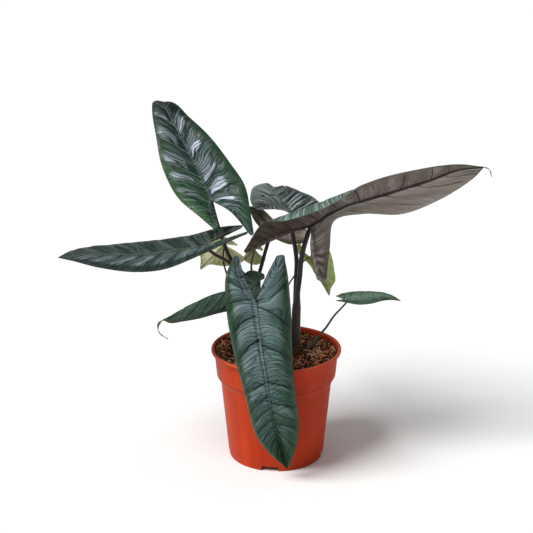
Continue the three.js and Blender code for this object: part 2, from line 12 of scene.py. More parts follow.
import bpy
import numpy as np
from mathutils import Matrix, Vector

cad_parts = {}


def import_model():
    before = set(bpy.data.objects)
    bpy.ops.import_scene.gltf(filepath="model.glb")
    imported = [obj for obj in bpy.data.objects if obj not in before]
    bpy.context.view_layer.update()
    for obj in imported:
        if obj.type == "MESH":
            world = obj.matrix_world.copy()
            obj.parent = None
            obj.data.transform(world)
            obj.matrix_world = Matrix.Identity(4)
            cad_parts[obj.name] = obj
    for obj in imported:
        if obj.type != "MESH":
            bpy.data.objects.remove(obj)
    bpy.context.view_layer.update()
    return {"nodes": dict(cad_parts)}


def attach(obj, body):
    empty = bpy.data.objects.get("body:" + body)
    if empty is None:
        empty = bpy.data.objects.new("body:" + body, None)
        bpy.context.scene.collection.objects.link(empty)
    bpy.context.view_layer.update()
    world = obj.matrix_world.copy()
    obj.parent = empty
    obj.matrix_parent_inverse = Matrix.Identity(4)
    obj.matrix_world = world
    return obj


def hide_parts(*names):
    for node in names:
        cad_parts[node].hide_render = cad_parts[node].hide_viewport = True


LOG = logging.getLogger("plant")
MM = 0.001

Point = tuple[float, float, float]
Pair = tuple[float, float]
Colour = tuple[float, float, float, float]


def paint(code: str) -> Colour:
    """Turn a colour code into a colour.

    Args:
        code: Six hexadecimal digits, in sRGB.

    Returns:
        The linear colour.
    """
    parts = [int(code[i:i + 2], 16) / 255 for i in (0, 2, 4)]
    linear = [c / 12.92 if c <= 0.04045 else ((c + 0.055) / 1.055) ** 2.4 for c in parts]
    return (*linear, 1.0)


def seen(code: str, gain: float = 0.6) -> Colour:
    """Return the paint that shows as about this sRGB code where the studio's key light falls."""
    red, green, blue, alpha = paint(code)
    return (red * gain, green * gain, blue * gain, alpha)


def ease(value: np.ndarray, low: float, high: float) -> np.ndarray:
    """Return 0 below low, 1 above high and a smooth rise between them."""
    share = np.clip((value - low) / (high - low), 0, 1)
    return share * share * (3 - 2 * share)


def graded(values: tuple[float, ...], share: np.ndarray) -> np.ndarray:
    """Return what a list of evenly spaced values gives at shares of its length."""
    return np.interp(share * (len(values) - 1), range(len(values)), values)


# Shader nodes


class Value:
    """A shader socket that adds, subtracts, multiplies and divides as a Python number does."""

    def __init__(self, kit: "NodeKit", socket: bpy.types.NodeSocket) -> None:
        self.kit = kit
        self.socket = socket

    def __add__(self, other: "Value | float") -> "Value":
        """Return self + other."""
        return self.kit.maths("ADD", self, other)

    def __sub__(self, other: "Value | float") -> "Value":
        """Return self - other."""
        return self.kit.maths("SUBTRACT", self, other)

    def __mul__(self, other: "Value | float") -> "Value":
        """Return self * other."""
        return self.kit.maths("MULTIPLY", self, other)

    def __truediv__(self, other: "Value | float") -> "Value":
        """Return self / other."""
        return self.kit.maths("DIVIDE", self, other)

    def __rsub__(self, other: float) -> "Value":
        """Return other - self."""
        return self.kit.maths("SUBTRACT", other, self)

    __radd__ = __add__
    __rmul__ = __mul__


class NodeKit:
    """Builds one material's node tree."""

    def __init__(self, name: str) -> None:
        """Make the material and empty its tree.

        Args:
            name: The material's name.
        """
        self.material = bpy.data.materials.new(name)
        self.material.use_nodes = True
        self.tree = self.material.node_tree
        self.tree.nodes.clear()

    def node(self, kind: str, settings: dict | None = None, inputs: dict | None = None,
             output: int | str = 0) -> Value:
        """Add one node.

        Args:
            kind: The node's type.
            settings: Its properties, set before its sockets. "stops" are a ramp's (place, colour) pairs.
            inputs: Values or links by socket name or number.
            output: The output to return.

        Returns:
            The chosen output.
        """
        node = self.tree.nodes.new(kind)
        for key, value in (settings or {}).items():
            if key == "stops":
                ramp = node.color_ramp
                while len(ramp.elements) < len(value):
                    ramp.elements.new(0.5)
                for element, (place, colour) in zip(ramp.elements, value):
                    element.position, element.color = place, colour
            else:
                setattr(node, key, value)
        for key, value in (inputs or {}).items():
            if isinstance(value, Value):
                self.tree.links.new(value.socket, node.inputs[key])
            else:
                node.inputs[key].default_value = value
        return Value(self, node.outputs[output])

    def maths(self, operation: str, *values: "Value | float") -> Value:
        """Return one Math node's result."""
        return self.node("ShaderNodeMath", {"operation": operation}, dict(enumerate(values)))

    def mark(self, name: str) -> Value:
        """Return a number that the mesh carries at each point."""
        return self.node("ShaderNodeAttribute", {"attribute_name": name}, output="Fac")

    def place(self) -> Value:
        """Return the Object coordinates."""
        return self.node("ShaderNodeTexCoord", output="Object")

    def scaled(self, vector: Value, scale: Point) -> Value:
        """Return a vector multiplied on each axis."""
        return self.node("ShaderNodeMapping", inputs={0: vector, "Scale": scale})

    def noise(self, vector: Value, scale: float, detail: float = 3.0, rough: float = 0.5) -> Value:
        """Return soft noise from 0 to 1."""
        return self.node("ShaderNodeTexNoise", inputs={
            "Vector": vector, "Scale": scale, "Detail": detail, "Roughness": rough})

    def cells(self, vector: Value, scale: float) -> Value:
        """Return the distance to cell points."""
        return self.node("ShaderNodeTexVoronoi", inputs={"Vector": vector, "Scale": scale})

    def strips(self, across: Value, along: Value) -> tuple[Value, Value]:
        """Divide a surface into long cells, each of about 1 by 1.

        Args:
            across: The first coordinate.
            along: The second coordinate.

        Returns:
            How far a place is from its cell's border, and a number of the cell's own.
        """
        vector = self.node("ShaderNodeCombineXYZ", inputs={0: across, 1: along})
        flat = {"voronoi_dimensions": "2D"}
        gap = self.node("ShaderNodeTexVoronoi", {**flat, "feature": "DISTANCE_TO_EDGE"},
                        {"Vector": vector, "Scale": 1.0})
        own = self.node("ShaderNodeTexVoronoi", flat, {"Vector": vector, "Scale": 1.0}, output="Color")
        return gap, own

    def rise(self, value: Value, low: float, high: float, start: float = 0.0, end: float = 1.0) -> Value:
        """Return a smooth change from start to end as the value passes from low to high."""
        return self.node("ShaderNodeMapRange", {"interpolation_type": "SMOOTHSTEP"},
                         {0: value, 1: low, 2: high, 3: start, 4: end})

    def mix(self, factor: "Value | float", first: "Value | Colour", second: "Value | Colour") -> Value:
        """Return a colour between two others."""
        return self.node("ShaderNodeMix", {"data_type": "RGBA", "clamp_factor": True},
                         {0: factor, 6: first, 7: second}, output=2)

    def ramp(self, factor: Value, *stops: tuple[float, Colour]) -> Value:
        """Return a colour from a ramp."""
        return self.node("ShaderNodeValToRGB", {"stops": stops}, {0: factor})

    def bump(self, height: Value, distance: float, strength: float = 1.0) -> Value:
        """Return a normal that a height has tilted."""
        return self.node("ShaderNodeBump",
                         inputs={"Height": height, "Distance": distance, "Strength": strength})

    def finish(self, inputs: dict) -> bpy.types.Material:
        """Close the tree with a Principled shader.

        Args:
            inputs: Values or links by socket name.

        Returns:
            The material.
        """
        shader = self.node("ShaderNodeBsdfPrincipled", inputs=inputs)
        output = self.tree.nodes.new("ShaderNodeOutputMaterial")
        self.tree.links.new(shader.socket, output.inputs["Surface"])
        return self.material


# Finishes


@dataclass(frozen=True)
class PotPlastic:
    """Satin terracotta-coloured polypropylene, faintly clouded and scuffed.

    Heights are in metres: the painted highlight along the lip sets in over the first pair, and the
    painted shade in the crease under the band rises and ends over the other two.
    """

    body: Colour = paint("B43810")
    shade: Colour = paint("A42E0C")
    dust: Colour = paint("BC765C")
    lip_highlight: Colour = paint("D66A4C")
    band_shade: Colour = paint("6E200C")
    lip_highlight_rise: Pair = (0.1034, 0.1046)
    band_shade_rise: Pair = (0.0775, 0.0789)
    band_shade_end: Pair = (0.0797, 0.0803)

    def material(self) -> bpy.types.Material:
        """Mix clouds, flow lines, scuffs and specks of dust, with a painted highlight along the lip and
        painted shade in the crease under the band.

        Returns:
            The material.
        """
        kit = NodeKit("terracotta_plastic")
        place = kit.place()
        cloud = kit.noise(place, 22, 4, 0.6)
        flow = kit.noise(kit.scaled(place, (60, 60, 9)), 1.6, 3, 0.55)
        grain = kit.noise(place, 1500, 2, 0.5)
        speck = kit.rise(kit.noise(place, 420, 2, 0.6), 0.66, 0.74)
        scuff = kit.rise(kit.noise(kit.scaled(place, (1, 1, 6)), 120, 5, 0.7), 0.6, 0.74)
        tone = kit.rise(cloud * 0.6 + flow * 0.4, 0.38, 0.62)
        colour = kit.mix(tone, self.shade, self.body)
        colour = kit.mix(scuff * 0.22 + speck * 0.12, colour, self.dust)
        height = kit.node("ShaderNodeSeparateXYZ", inputs={0: place}, output="Z")
        # Painted highlight along the top of the lip.
        colour = kit.mix(kit.rise(height, *self.lip_highlight_rise, 0.0, 0.55), colour, self.lip_highlight)
        # Painted shade in the crease under the band.
        band_crease_shade = kit.rise(height, *self.band_shade_rise) * kit.rise(height, *self.band_shade_end, 1.0, 0.0)
        colour = kit.mix(band_crease_shade * 0.55, colour, self.band_shade)
        normal = kit.bump(grain * 0.5 + flow * 0.5, 0.00006, 0.7)
        return kit.finish({
            "Base Color": colour,
            "Roughness": 0.4 + cloud * 0.12 + scuff * 0.16 + grain * 0.05,
            "Specular IOR Level": 0.12,
            "Normal": normal,
        })


@dataclass(frozen=True)
class PeatBed:
    """Dark peat and fine crumbs that lie under the chips."""

    dark: Colour = paint("160D08")
    middle: Colour = paint("3A2417")
    light: Colour = paint("6B4630")

    def material(self) -> bpy.types.Material:
        """Mix crumbs and grit.

        Returns:
            The material.
        """
        kit = NodeKit("peat_bed")
        place = kit.place()
        crumbs = kit.cells(place, 420)
        grit = kit.noise(place, 900, 4, 0.7)
        colour = kit.ramp(crumbs * 0.5 + grit * 0.6, (0.3, self.dark), (0.55, self.middle), (0.8, self.light))
        return kit.finish({
            "Base Color": colour,
            "Roughness": 0.85 + grit * 0.12,
            "Normal": kit.bump(crumbs + grit * 0.6, 0.0012),
        })


@dataclass(frozen=True)
class BarkAndCoir:
    """Shredded bark and coir, each scrap with its own tone."""

    name: str = "bark_chip"
    dark: Colour = paint("1B0F09")
    brown: Colour = paint("5C2C14")
    warm: Colour = paint("C46A2E")
    pale: Colour = paint("EBB27C")
    bleached: Colour = paint("F0D6B0")

    def material(self) -> bpy.types.Material:
        """Grade each scrap by its tone, with grain and blots over it.

        Returns:
            The material.
        """
        kit = NodeKit(self.name)
        place = kit.place()
        tone = kit.mark("tone")
        grain = kit.noise(kit.scaled(place, (500, 500, 1600)), 1, 4, 0.65)
        blot = kit.noise(place, 300, 3, 0.5)
        colour = kit.ramp(tone * 0.75 + (grain - 0.5) * 0.28 + (blot - 0.5) * 0.2, (0.05, self.dark),
                          (0.32, self.brown), (0.58, self.warm), (0.78, self.pale), (0.98, self.bleached))
        return kit.finish({
            "Base Color": colour,
            "Roughness": 0.72 + grain * 0.22,
            "Normal": kit.bump(grain * 0.7 + blot * 0.4, 0.0005),
        })


@dataclass(frozen=True)
class CrownBark:
    """The rootstock's rough brown skin with leaf scars."""

    dark: Colour = paint("3B2617")
    light: Colour = paint("8A6242")

    def material(self) -> bpy.types.Material:
        """Mix rings of leaf scars with warts.

        Returns:
            The material.
        """
        kit = NodeKit("crown_bark")
        place = kit.place()
        rings = kit.noise(kit.scaled(place, (30, 30, 260)), 1.4, 4, 0.6)
        warts = kit.cells(place, 260)
        colour = kit.mix(kit.rise(rings + warts * 0.3, 0.45, 0.85), self.dark, self.light)
        return kit.finish({
            "Base Color": colour,
            "Roughness": 0.7 + rings * 0.25,
            "Normal": kit.bump(rings + warts, 0.0008),
        })


class StalkTone(Enum):
    """Which colour a petiole has along most of its length."""

    DARK = "dark"
    REDDISH = "reddish"
    GREYISH = "greyish"
    OLIVE = "olive"


@dataclass(frozen=True)
class StalkSkin:
    """Satin petiole skin: olive at the foot, then its own tone, with fine stripes along it."""

    tone: StalkTone
    body: Colour
    stripe: Colour
    foot: Colour = seen("7A6B38")
    sheath: Colour = seen("46342B")

    def material(self) -> bpy.types.Material:
        """Grade the skin by its height over the soil, with stripes and ridges round it.

        Returns:
            The material.
        """
        kit = NodeKit(f"petiole_{self.tone.value}")
        place = kit.place()
        height, angle = kit.mark("height"), kit.mark("angle")
        blot = kit.noise(place, 160, 4, 0.6)
        stripes = kit.noise(kit.node("ShaderNodeCombineXYZ", inputs={0: angle * 9.0, 1: height * 2.2}),
                            2.2, 3, 0.6)
        low = height + (blot - 0.5) * 0.35
        colour = kit.mix(kit.rise(stripes, 0.42, 0.7), self.body, self.stripe)
        colour = kit.mix(kit.rise(low, 0.12, 0.75, 0.85, 0.0), colour, self.sheath)
        colour = kit.mix(kit.rise(low, -0.05, 0.22, 1.0, 0.0), colour, self.foot)
        ridges = kit.maths("SINE", angle * 56.0 + blot * 3.0)
        return kit.finish({
            "Base Color": colour,
            "Roughness": 0.36 + blot * 0.16 + stripes * 0.06,
            "Specular IOR Level": 0.4,
            "Normal": kit.bump(ridges * 0.3 + stripes * 0.7, 0.00022),
        })


@dataclass(frozen=True)
class BladeFace:
    """One face of a blade: its colours from the midrib out, and how strongly its pattern shows.

    Second is the colour that a half's tint brings in, light the paler colour of the random strips and
    of the painted highlight on the tops of the folds, and pale_vein that of the primary veins on a half
    whose pale is 1. The silver colour is partly the leaf's own tone and partly a painted highlight for
    the gloss's reflection. Each show is how much of a colour is seen: vein for the primary veins, then
    the painted shade in the furrows beside them, the painted highlight on the tops of the folds and the
    painted shade in their hollows, the painted shade in the fine creases, strip for the random paler
    strips, hair for the fine net, and rib for the midrib. Lit_margin, lit_tip and rib_tip are what is
    left of the painted highlight and paler strips, and of the rib, out there. Tip_start is the share of
    the blade's length at which the tip's colour sets in, over tip_reach.
    """

    centre: Colour
    middle: Colour
    margin: Colour
    vein: Colour
    rib: Colour
    second: Colour
    tip: Colour
    light: Colour
    silver: Colour = seen("B4C0CC", 0.8)
    pale_vein: Colour = seen("9DB0AC")
    edge: Colour = seen("5A4A38")
    vein_width: float = 0.035
    vein_show: float = 0.85
    furrow_shade_show: float = 0.35
    crest_highlight_show: float = 0.15
    crease_shade_show: float = 0.5
    trough_shade_show: float = 0.0
    lit_margin: float = 0.2
    lit_tip: float = 1.0
    strip_show: float = 0.25
    rib_show: float = 0.8
    rib_tip: float = 1.0
    hair_show: float = 0.16
    tip_start: float = 0.78
    tip_reach: float = 0.19
    rough: float = 0.36


@dataclass(frozen=True)
class BladeSkin:
    """A blade's two faces and the relief that they share.

    Strip and relief are the width and height in millimetres of the strips between two creases. Steady
    is how strong a crease is where it is faintest, and margin_show what is left of it at the margin.
    Glow is how much light the blade lets through, and gloss is its specular level.
    """

    name: str
    upper: BladeFace
    under: BladeFace
    strip: float = 2.7
    relief: float = 0.45
    glow: float = 0.0
    margin_show: float = 0.3
    gloss: float = 0.25
    steady: float = 0.25

    def material(self) -> bpy.types.Material:
        """Lay creases and hairs over both faces and paint each.

        Returns:
            The material.
        """
        kit = NodeKit(f"blade_{self.name}")
        place = kit.place()
        blot = kit.noise(place, 55, 4, 0.6)
        fine = kit.noise(place, 620, 4, 0.65)
        flow, reach = kit.mark("flow"), kit.mark("reach")
        waver = kit.noise(place, 110, 2, 0.5) - 0.5
        gap, own = kit.strips(flow / self.strip + waver * 0.8, reach / 24.0 + waver * 0.4)
        hair_gap, _ = kit.strips(flow / (0.36 * self.strip) + waver * 3.0, reach / 7.0)
        shown = kit.rise(kit.noise(place, 80, 3, 0.6), 0.3, 0.55, self.steady, 1.0)
        shown = shown * kit.rise(kit.mark("share"), 0.55, 0.85, 1.0, self.margin_show)
        crease = kit.rise(gap, 0.02, 0.15, 1.0, 0.0) * shown
        hair = kit.rise(hair_gap, 0.0, 0.12, 1.0, 0.0)
        top = self._face(kit, self.upper, (blot, fine, crease, hair, own))
        bottom = self._face(kit, self.under, (blot, fine, crease, hair, own))
        under = kit.mark("under")
        height = kit.rise(gap, 0.0, 0.3) * shown - hair * 0.18 + fine * 0.25
        return kit.finish({
            "Base Color": kit.mix(under, top[0], bottom[0]),
            "Roughness": top[1] + (bottom[1] - top[1]) * under,
            "Specular IOR Level": self.gloss,
            "Subsurface Weight": self.glow,
            "Subsurface Radius": (1.0, 1.0, 0.55),
            "Subsurface Scale": 0.004,
            "Normal": kit.bump(height, self.relief * MM),
        })

    def _face(self, kit: NodeKit, face: BladeFace, pattern: tuple[Value, ...]) -> tuple[Value, Value]:
        """Paint one face, from its broad colours and its painted highlight and shade down to its veins and
        edge.

        Args:
            kit: The material's kit.
            face: The face's colours.
            pattern: What both faces share: blots, fine grain, creases, hairs and each strip's number.

        Returns:
            The face's colour and roughness.
        """
        blot, fine, crease, hair, own = pattern
        phase, share, crest = kit.mark("phase"), kit.mark("share"), kit.mark("crest")
        along = kit.mark("along")
        outward = share + (blot - 0.5) * 0.35
        colour = kit.mix(kit.rise(outward, 0.15, 0.5), face.centre, face.middle)
        colour = kit.mix(kit.rise(outward, 0.48, 0.82), colour, face.margin)
        colour = kit.mix(kit.mark("tint") + (blot - 0.5) * 0.5, colour, face.second)
        at_tip = kit.rise(along + (blot - 0.5) * 0.12, face.tip_start, face.tip_start + face.tip_reach)
        colour = kit.mix(at_tip, colour, face.tip)
        # Painted highlight on the tops of the folds, with paler random strips, faded at the midrib, margin
        # and tip.
        inside = kit.rise(share, 0.0, 0.06) * kit.rise(share, 0.62, 0.92, 1.0, face.lit_margin)
        highlight_and_strips = kit.rise(own, 0.35, 0.8) * face.strip_show + kit.rise(crest, 0.4, 1.0) * face.crest_highlight_show
        inside = inside * kit.rise(along, 0.62, 0.86, 1.0, face.lit_tip)
        colour = kit.mix(highlight_and_strips * inside, colour, face.light)
        # Pale silver: partly the leaf's own silvery tone, partly a painted highlight for the gloss's
        # reflection.
        silver = kit.mark("silver") * (0.3 + kit.rise(own, 0.3, 0.6) * 0.7)
        colour = kit.mix(silver, colour, face.silver)
        apart = kit.maths("PINGPONG", phase, 0.5) + (fine - 0.5) * 0.012
        veins = kit.rise(share, 0.75, 0.97, 1.0, 0.0)
        # Painted shade in the furrows beside the primary veins.
        furrow_shade = kit.rise(apart, 0.0, 0.14, face.furrow_shade_show, 0.0) * veins
        # Painted shade in the fine creases, with darker hairs of the fine net and grain.
        dark = crease * face.crease_shade_show + hair * face.hair_show + kit.rise(fine, 0.5, 0.8) * 0.15
        # Painted shade in the hollows of the folds.
        dark = dark + (1 - crest) * face.trough_shade_show
        colour = kit.mix(dark * kit.rise(share, 0.65, 0.95, 1.0, 0.6) + furrow_shade, colour, face.vein)
        vein = kit.rise(apart, face.vein_width * 0.3, face.vein_width, 1.0, 0.0) * veins
        colour = kit.mix(vein * face.vein_show, colour, kit.mix(kit.mark("pale"), face.vein, face.pale_vein))
        rib = kit.mark("rib") * kit.rise(along, 0.56, 0.74, face.rib_show, face.rib_show * face.rib_tip)
        colour = kit.mix(rib, colour, face.rib)
        colour = kit.mix(kit.rise(kit.mark("edge"), 0.45, 0.95) * 0.75, colour, face.edge)
        rough = face.rough + (fine - 0.5) * 0.16 + crease * 0.15 + vein * 0.15 - own * 0.08
        return colour, rough


# Lines, tubes and meshes


class Spline:
    """A smooth line through points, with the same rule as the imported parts' curves."""

    def __init__(self, points: list[Point]) -> None:
        """Work out the cubic for each stretch between two points.

        Args:
            points: What the line passes through.
        """
        p = np.asarray(points, float)
        q = np.vstack([2 * p[0] - p[1], p, 2 * p[-1] - p[-2]])
        step = np.sqrt(np.linalg.norm(np.diff(q, axis=0), axis=1))[:, None]
        a, b, c = step[:-2], step[1:-1], step[2:]
        x0, x1, x2, x3 = q[:-3], q[1:-2], q[2:-1], q[3:]
        t1 = ((x1 - x0) / a - (x2 - x0) / (a + b) + (x2 - x1) / b) * b
        t2 = ((x2 - x1) / b - (x3 - x1) / (b + c) + (x3 - x2) / c) * b
        self.terms = (x1, t1, -3 * x1 + 3 * x2 - 2 * t1 - t2, 2 * x1 - 2 * x2 + t1 + t2)
        self.spans = len(p) - 1

    def at(self, share: np.ndarray) -> np.ndarray:
        """Find points on the line.

        Args:
            share: Shares from 0 to 1, with every stretch counted alike.

        Returns:
            The points.
        """
        place = np.clip(np.asarray(share, float), 0, 1) * self.spans
        span = np.minimum(place.astype(int), self.spans - 1)
        f = (place - span)[..., None]
        c0, c1, c2, c3 = (term[span] for term in self.terms)
        return ((c3 * f + c2) * f + c1) * f + c0

    def _lengths(self) -> tuple[np.ndarray, np.ndarray]:
        """Measure the line.

        Returns:
            Fine shares, and the length of line up to each.
        """
        shares = np.linspace(0, 1, 1201)
        steps = np.linalg.norm(np.diff(self.at(shares), axis=0), axis=1)
        return shares, np.concatenate([[0], np.cumsum(steps)])

    def length(self) -> float:
        """Return the line's length."""
        return float(self._lengths()[1][-1])

    def spaced(self, share: np.ndarray) -> np.ndarray:
        """Return the points at shares of the line's length."""
        shares, lengths = self._lengths()
        return self.at(np.interp(np.asarray(share) * lengths[-1], lengths, shares))


class Ripple:
    """Smooth repeatable unevenness: a sum of waves in seeded directions."""

    def __init__(self, seed: int, wavelength: float, count: int = 14) -> None:
        """Draw the waves.

        Args:
            seed: Which pattern.
            wavelength: About how long a wave is.
            count: How many waves are summed.
        """
        rng = np.random.default_rng(seed)
        way = rng.normal(size=(count, 3))
        way /= np.linalg.norm(way, axis=1)[:, None]
        self.way = way * (math.tau / (wavelength * rng.uniform(0.7, 1.6, (count, 1))))
        self.shift = rng.uniform(0, math.tau, count)

    def at(self, points: np.ndarray) -> np.ndarray:
        """Return a height of about -1 to 1 for each point."""
        return np.sin(points @ self.way.T + self.shift).sum(-1) / math.sqrt(len(self.shift))


def cell_depth(u: np.ndarray, v: np.ndarray, seed: int) -> np.ndarray:
    """Return how deep each place lies inside its irregular cell: 0 on a border, up to about 1.

    Args:
        u: The first coordinate, one cell to a unit.
        v: The second coordinate, one cell to a unit.
        seed: Which pattern.

    Returns:
        The difference between the distances to the second nearest and the nearest cell point.
    """
    near = np.full(u.shape, 9.0)
    second = near.copy()
    for du in (-1, 0, 1):
        for dv in (-1, 0, 1):
            cu, cv = np.floor(u) + du, np.floor(v) + dv
            jump = np.sin(cu * 127.1 + cv * 311.7 + seed * 74.7) * 43758.5453
            other = np.sin(cu * 269.5 + cv * 183.3 + seed * 12.3) * 43758.5453
            gap = np.hypot(cu + jump - np.floor(jump) - u, cv + other - np.floor(other) - v)
            second = np.minimum(second, np.maximum(near, gap))
            near = np.minimum(near, gap)
    return second - near


@dataclass
class Shell:
    """A closed surface in millimetres with numbers at its points."""

    points: np.ndarray
    faces: list[np.ndarray]
    marks: dict[str, np.ndarray] = field(default_factory=dict)
    finish: int = 0

    def outward(self) -> "Shell":
        """Turn the faces round if they point in.

        Returns:
            The shell itself.
        """
        volume = 0.0
        for faces in self.faces:
            for k in range(1, faces.shape[1] - 1):
                a, b, c = (self.points[faces[:, i]] for i in (0, k, k + 1))
                volume += float(np.einsum("ij,ij->i", a, np.cross(b, c)).sum())
        if volume < 0:
            self.faces = [faces[:, ::-1] for faces in self.faces]
        return self


def make_piece(name: str, shells: list[Shell], materials: list[bpy.types.Material]) -> bpy.types.Object:
    """Join shells into one smooth object.

    Args:
        name: The piece's name.
        shells: Closed surfaces in millimetres.
        materials: The materials that the shells' finish numbers choose from.

    Returns:
        The new object, at the origin with its place in its mesh.
    """
    points, faces, finishes, offset = [], [], [], 0
    for shell in shells:
        points.append(shell.points)
        for block in shell.faces:
            faces.extend((block + offset).tolist())
            finishes.extend([shell.finish] * len(block))
        offset += len(shell.points)
    mesh = bpy.data.meshes.new(name)
    mesh.from_pydata((np.vstack(points) * MM).tolist(), [], faces)
    for mark in sorted({key for shell in shells for key in shell.marks}):
        values = [shell.marks.get(mark, np.zeros(len(shell.points))) for shell in shells]
        layer = mesh.attributes.new(mark, "FLOAT", "POINT")
        layer.data.foreach_set("value", np.concatenate(values).astype(np.float32))
    for material in materials:
        mesh.materials.append(material)
    mesh.polygons.foreach_set("material_index", finishes)
    mesh.polygons.foreach_set("use_smooth", [True] * len(mesh.polygons))
    mesh.update()
    piece = bpy.data.objects.new(name, mesh)
    bpy.context.scene.collection.objects.link(piece)
    return piece


def hold(piece: bpy.types.Object, slot: str, *nodes: str) -> bpy.types.Object:
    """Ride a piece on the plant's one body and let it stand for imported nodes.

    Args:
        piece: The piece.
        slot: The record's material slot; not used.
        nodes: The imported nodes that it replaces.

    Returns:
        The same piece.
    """
    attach(piece, "root")
    if nodes:
        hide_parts(*nodes)
    LOG.info("%s: %d faces", piece.name, len(piece.data.polygons))
    return piece


def tube_rings(centres: np.ndarray, radii: np.ndarray, sides: int, shape: np.ndarray | None = None,
               ) -> tuple[np.ndarray, np.ndarray]:
    """Sweep a ring along a line without twisting it.

    Args:
        centres: The line's points.
        radii: The radius at each.
        sides: How many points a ring has.
        shape: Optional factors on the radius, by point and side.

    Returns:
        The rings' points and the angle of each side.
    """
    along = np.gradient(centres, axis=0)
    along /= np.linalg.norm(along, axis=1)[:, None]
    angles = np.linspace(0, math.tau, sides, endpoint=False)
    helper = np.array([0.0, -1.0, 0.0]) if abs(along[0, 1]) < 0.9 else np.array([1.0, 0.0, 0.0])
    rings = []
    for i, way in enumerate(along):
        helper = helper - way * (helper @ way)
        helper /= np.linalg.norm(helper)
        other = np.cross(way, helper)
        factor = 1.0 if shape is None else shape[i][:, None]
        spread = np.cos(angles)[:, None] * helper + np.sin(angles)[:, None] * other
        rings.append(centres[i] + spread * radii[i] * factor)
    return np.array(rings), angles


def tube_shell(rings: np.ndarray, marks: dict[str, np.ndarray | float], finish: int = 0) -> Shell:
    """Close rings of points into a tube.

    Args:
        rings: The points, by ring and side.
        marks: Numbers by name, each one number or an array that spreads over rings and sides.
        finish: The number of the tube's material.

    Returns:
        The closed tube.
    """
    count, sides = rings.shape[:2]
    ids = np.arange(count * sides).reshape(count, sides)
    a, b = ids[:-1], ids[1:]
    quads = np.stack([a, b, np.roll(b, -1, 1), np.roll(a, -1, 1)], -1).reshape(-1, 4)
    first, last = count * sides, count * sides + 1
    start = np.stack([np.full(sides, first), ids[0], np.roll(ids[0], -1)], -1)
    end = np.stack([np.full(sides, last), np.roll(ids[-1], -1), ids[-1]], -1)
    points = np.vstack([rings.reshape(-1, 3), rings[0].mean(0), rings[-1].mean(0)])
    full = {}
    for key, value in marks.items():
        flat = np.broadcast_to(value, (count, sides)).reshape(-1)
        full[key] = np.concatenate([flat, [flat[0], flat[-1]]])
    return Shell(points, [quads, np.vstack([start, end])], full, finish).outward()


def corner_normals(points: np.ndarray, quads: np.ndarray) -> np.ndarray:
    """Average the normals of the faces that meet at each point.

    Args:
        points: The points of a sheet.
        quads: Its faces.

    Returns:
        One normal for each point.
    """
    turn = np.cross(points[quads[:, 2]] - points[quads[:, 0]], points[quads[:, 3]] - points[quads[:, 1]])
    normal = np.zeros_like(points)
    for k in range(4):
        np.add.at(normal, quads[:, k], turn)
    return normal / np.maximum(np.linalg.norm(normal, axis=1), 1e-12)[:, None]


def open_edges(quads: np.ndarray, total: int) -> np.ndarray:
    """Find the edges that only one face has.

    Args:
        quads: The faces of a sheet.
        total: How many points it has.

    Returns:
        The two points of each edge, in its face's order.
    """
    edges = np.vstack([quads[:, [k, (k + 1) % 4]] for k in range(4)])
    keys, back = edges[:, 0] * total + edges[:, 1], edges[:, 1] * total + edges[:, 0]
    return edges[~np.isin(keys, back)]


# Leaves


@dataclass(frozen=True)
class Half:
    """One half of a blade, left or right as seen from above, facing the tip.

    The sinus points run along the inner edge of the rear lobe to the petiole, the margin points from
    the lobe's end almost to the tip. Arch and crest say how far and where the half bulges. Each vein
    is the station at which a primary vein leaves the midrib and the one at which it meets the margin.
    Bow curves the veins towards the lobe (above 0) or the tip.

    The pale silver shows over a range of shares, with a strength: it is partly the leaf's own silvery
    tone and partly a painted highlight that stands in for the gloss's reflection. Wedge is how much of
    each bay between two veins it covers, fading across the bay as painted shading of the bay's dome,
    and shining is the range of stations where it shows. Tint is how much of the face's second colour
    shows at the lobe and at the tip. Pale says how light the primary veins are.

    Cell is the size of a fold along and across the blade, fold deepens the folds, and dome is how far
    in millimetres the creases between two veins bow out towards the lobe. Fine packs the creases
    closer, and the field after it is how much of the painted highlight on the folds' tops and the
    painted shade in their hollows shows.
    """

    sinus: tuple[Point, ...]
    margin: tuple[Point, ...]
    arch: tuple[float, ...]
    crest: float
    veins: tuple[Pair, ...]
    bow: float = 0.15
    silver: Point = (0.0, 0.5, 0.0)
    tint: Pair = (0.0, 0.0)
    wedge: float = 0.8
    shining: Pair = (1.4, 6.4)
    pale: float = 0.0
    cell: Pair = (6.5, 40.0)
    fold: float = 1.0
    dome: float = 0.0
    fine: float = 1.0
    fold_light_and_shade: float = 1.0


@dataclass(frozen=True)
class Leaf:
    """A petiole with its blade, in millimetres.

    The petiole rises from its foot along its route to the midrib's first point. Radius is its size at
    the foot and at the top, and sheath gives the shares of its length between which the swollen foot
    ends. Rows are the mesh's rows to a station, and columns those from the midrib to the margin. The
    thread is the withered end of the tip. Pillow is how high the blade lifts between two veins,
    wrinkle how high its folds are, and valley how deep it sinks beside the midrib. Keel is how wide
    the rib's colour is on the underside, in half widths of the rib.
    """

    name: str
    skin: BladeSkin
    stalk: StalkTone
    midrib: tuple[Point, ...]
    left: Half
    right: Half
    foot: Pair
    route: tuple[Point, ...]
    radius: Pair
    sheath: Pair = (0.0, 0.45)
    rows: int = 34
    columns: int = 40
    thread: tuple[Point, ...] = ()
    thread_radius: tuple[float, ...] = ()
    slot: str = "blade_dark"
    pillow: float = 0.9
    wrinkle: float = 0.16
    valley: float = 0.45
    seed: int = 1
    keel: float = 1.7


@dataclass
class Patch:
    """A half blade on a grid: the station along it and the share across it of each place, where the
    place is, how wide the half is there, and how full that width is, from 0 to 1.
    """

    station: np.ndarray
    share: np.ndarray
    place: np.ndarray
    width: np.ndarray
    narrow: np.ndarray


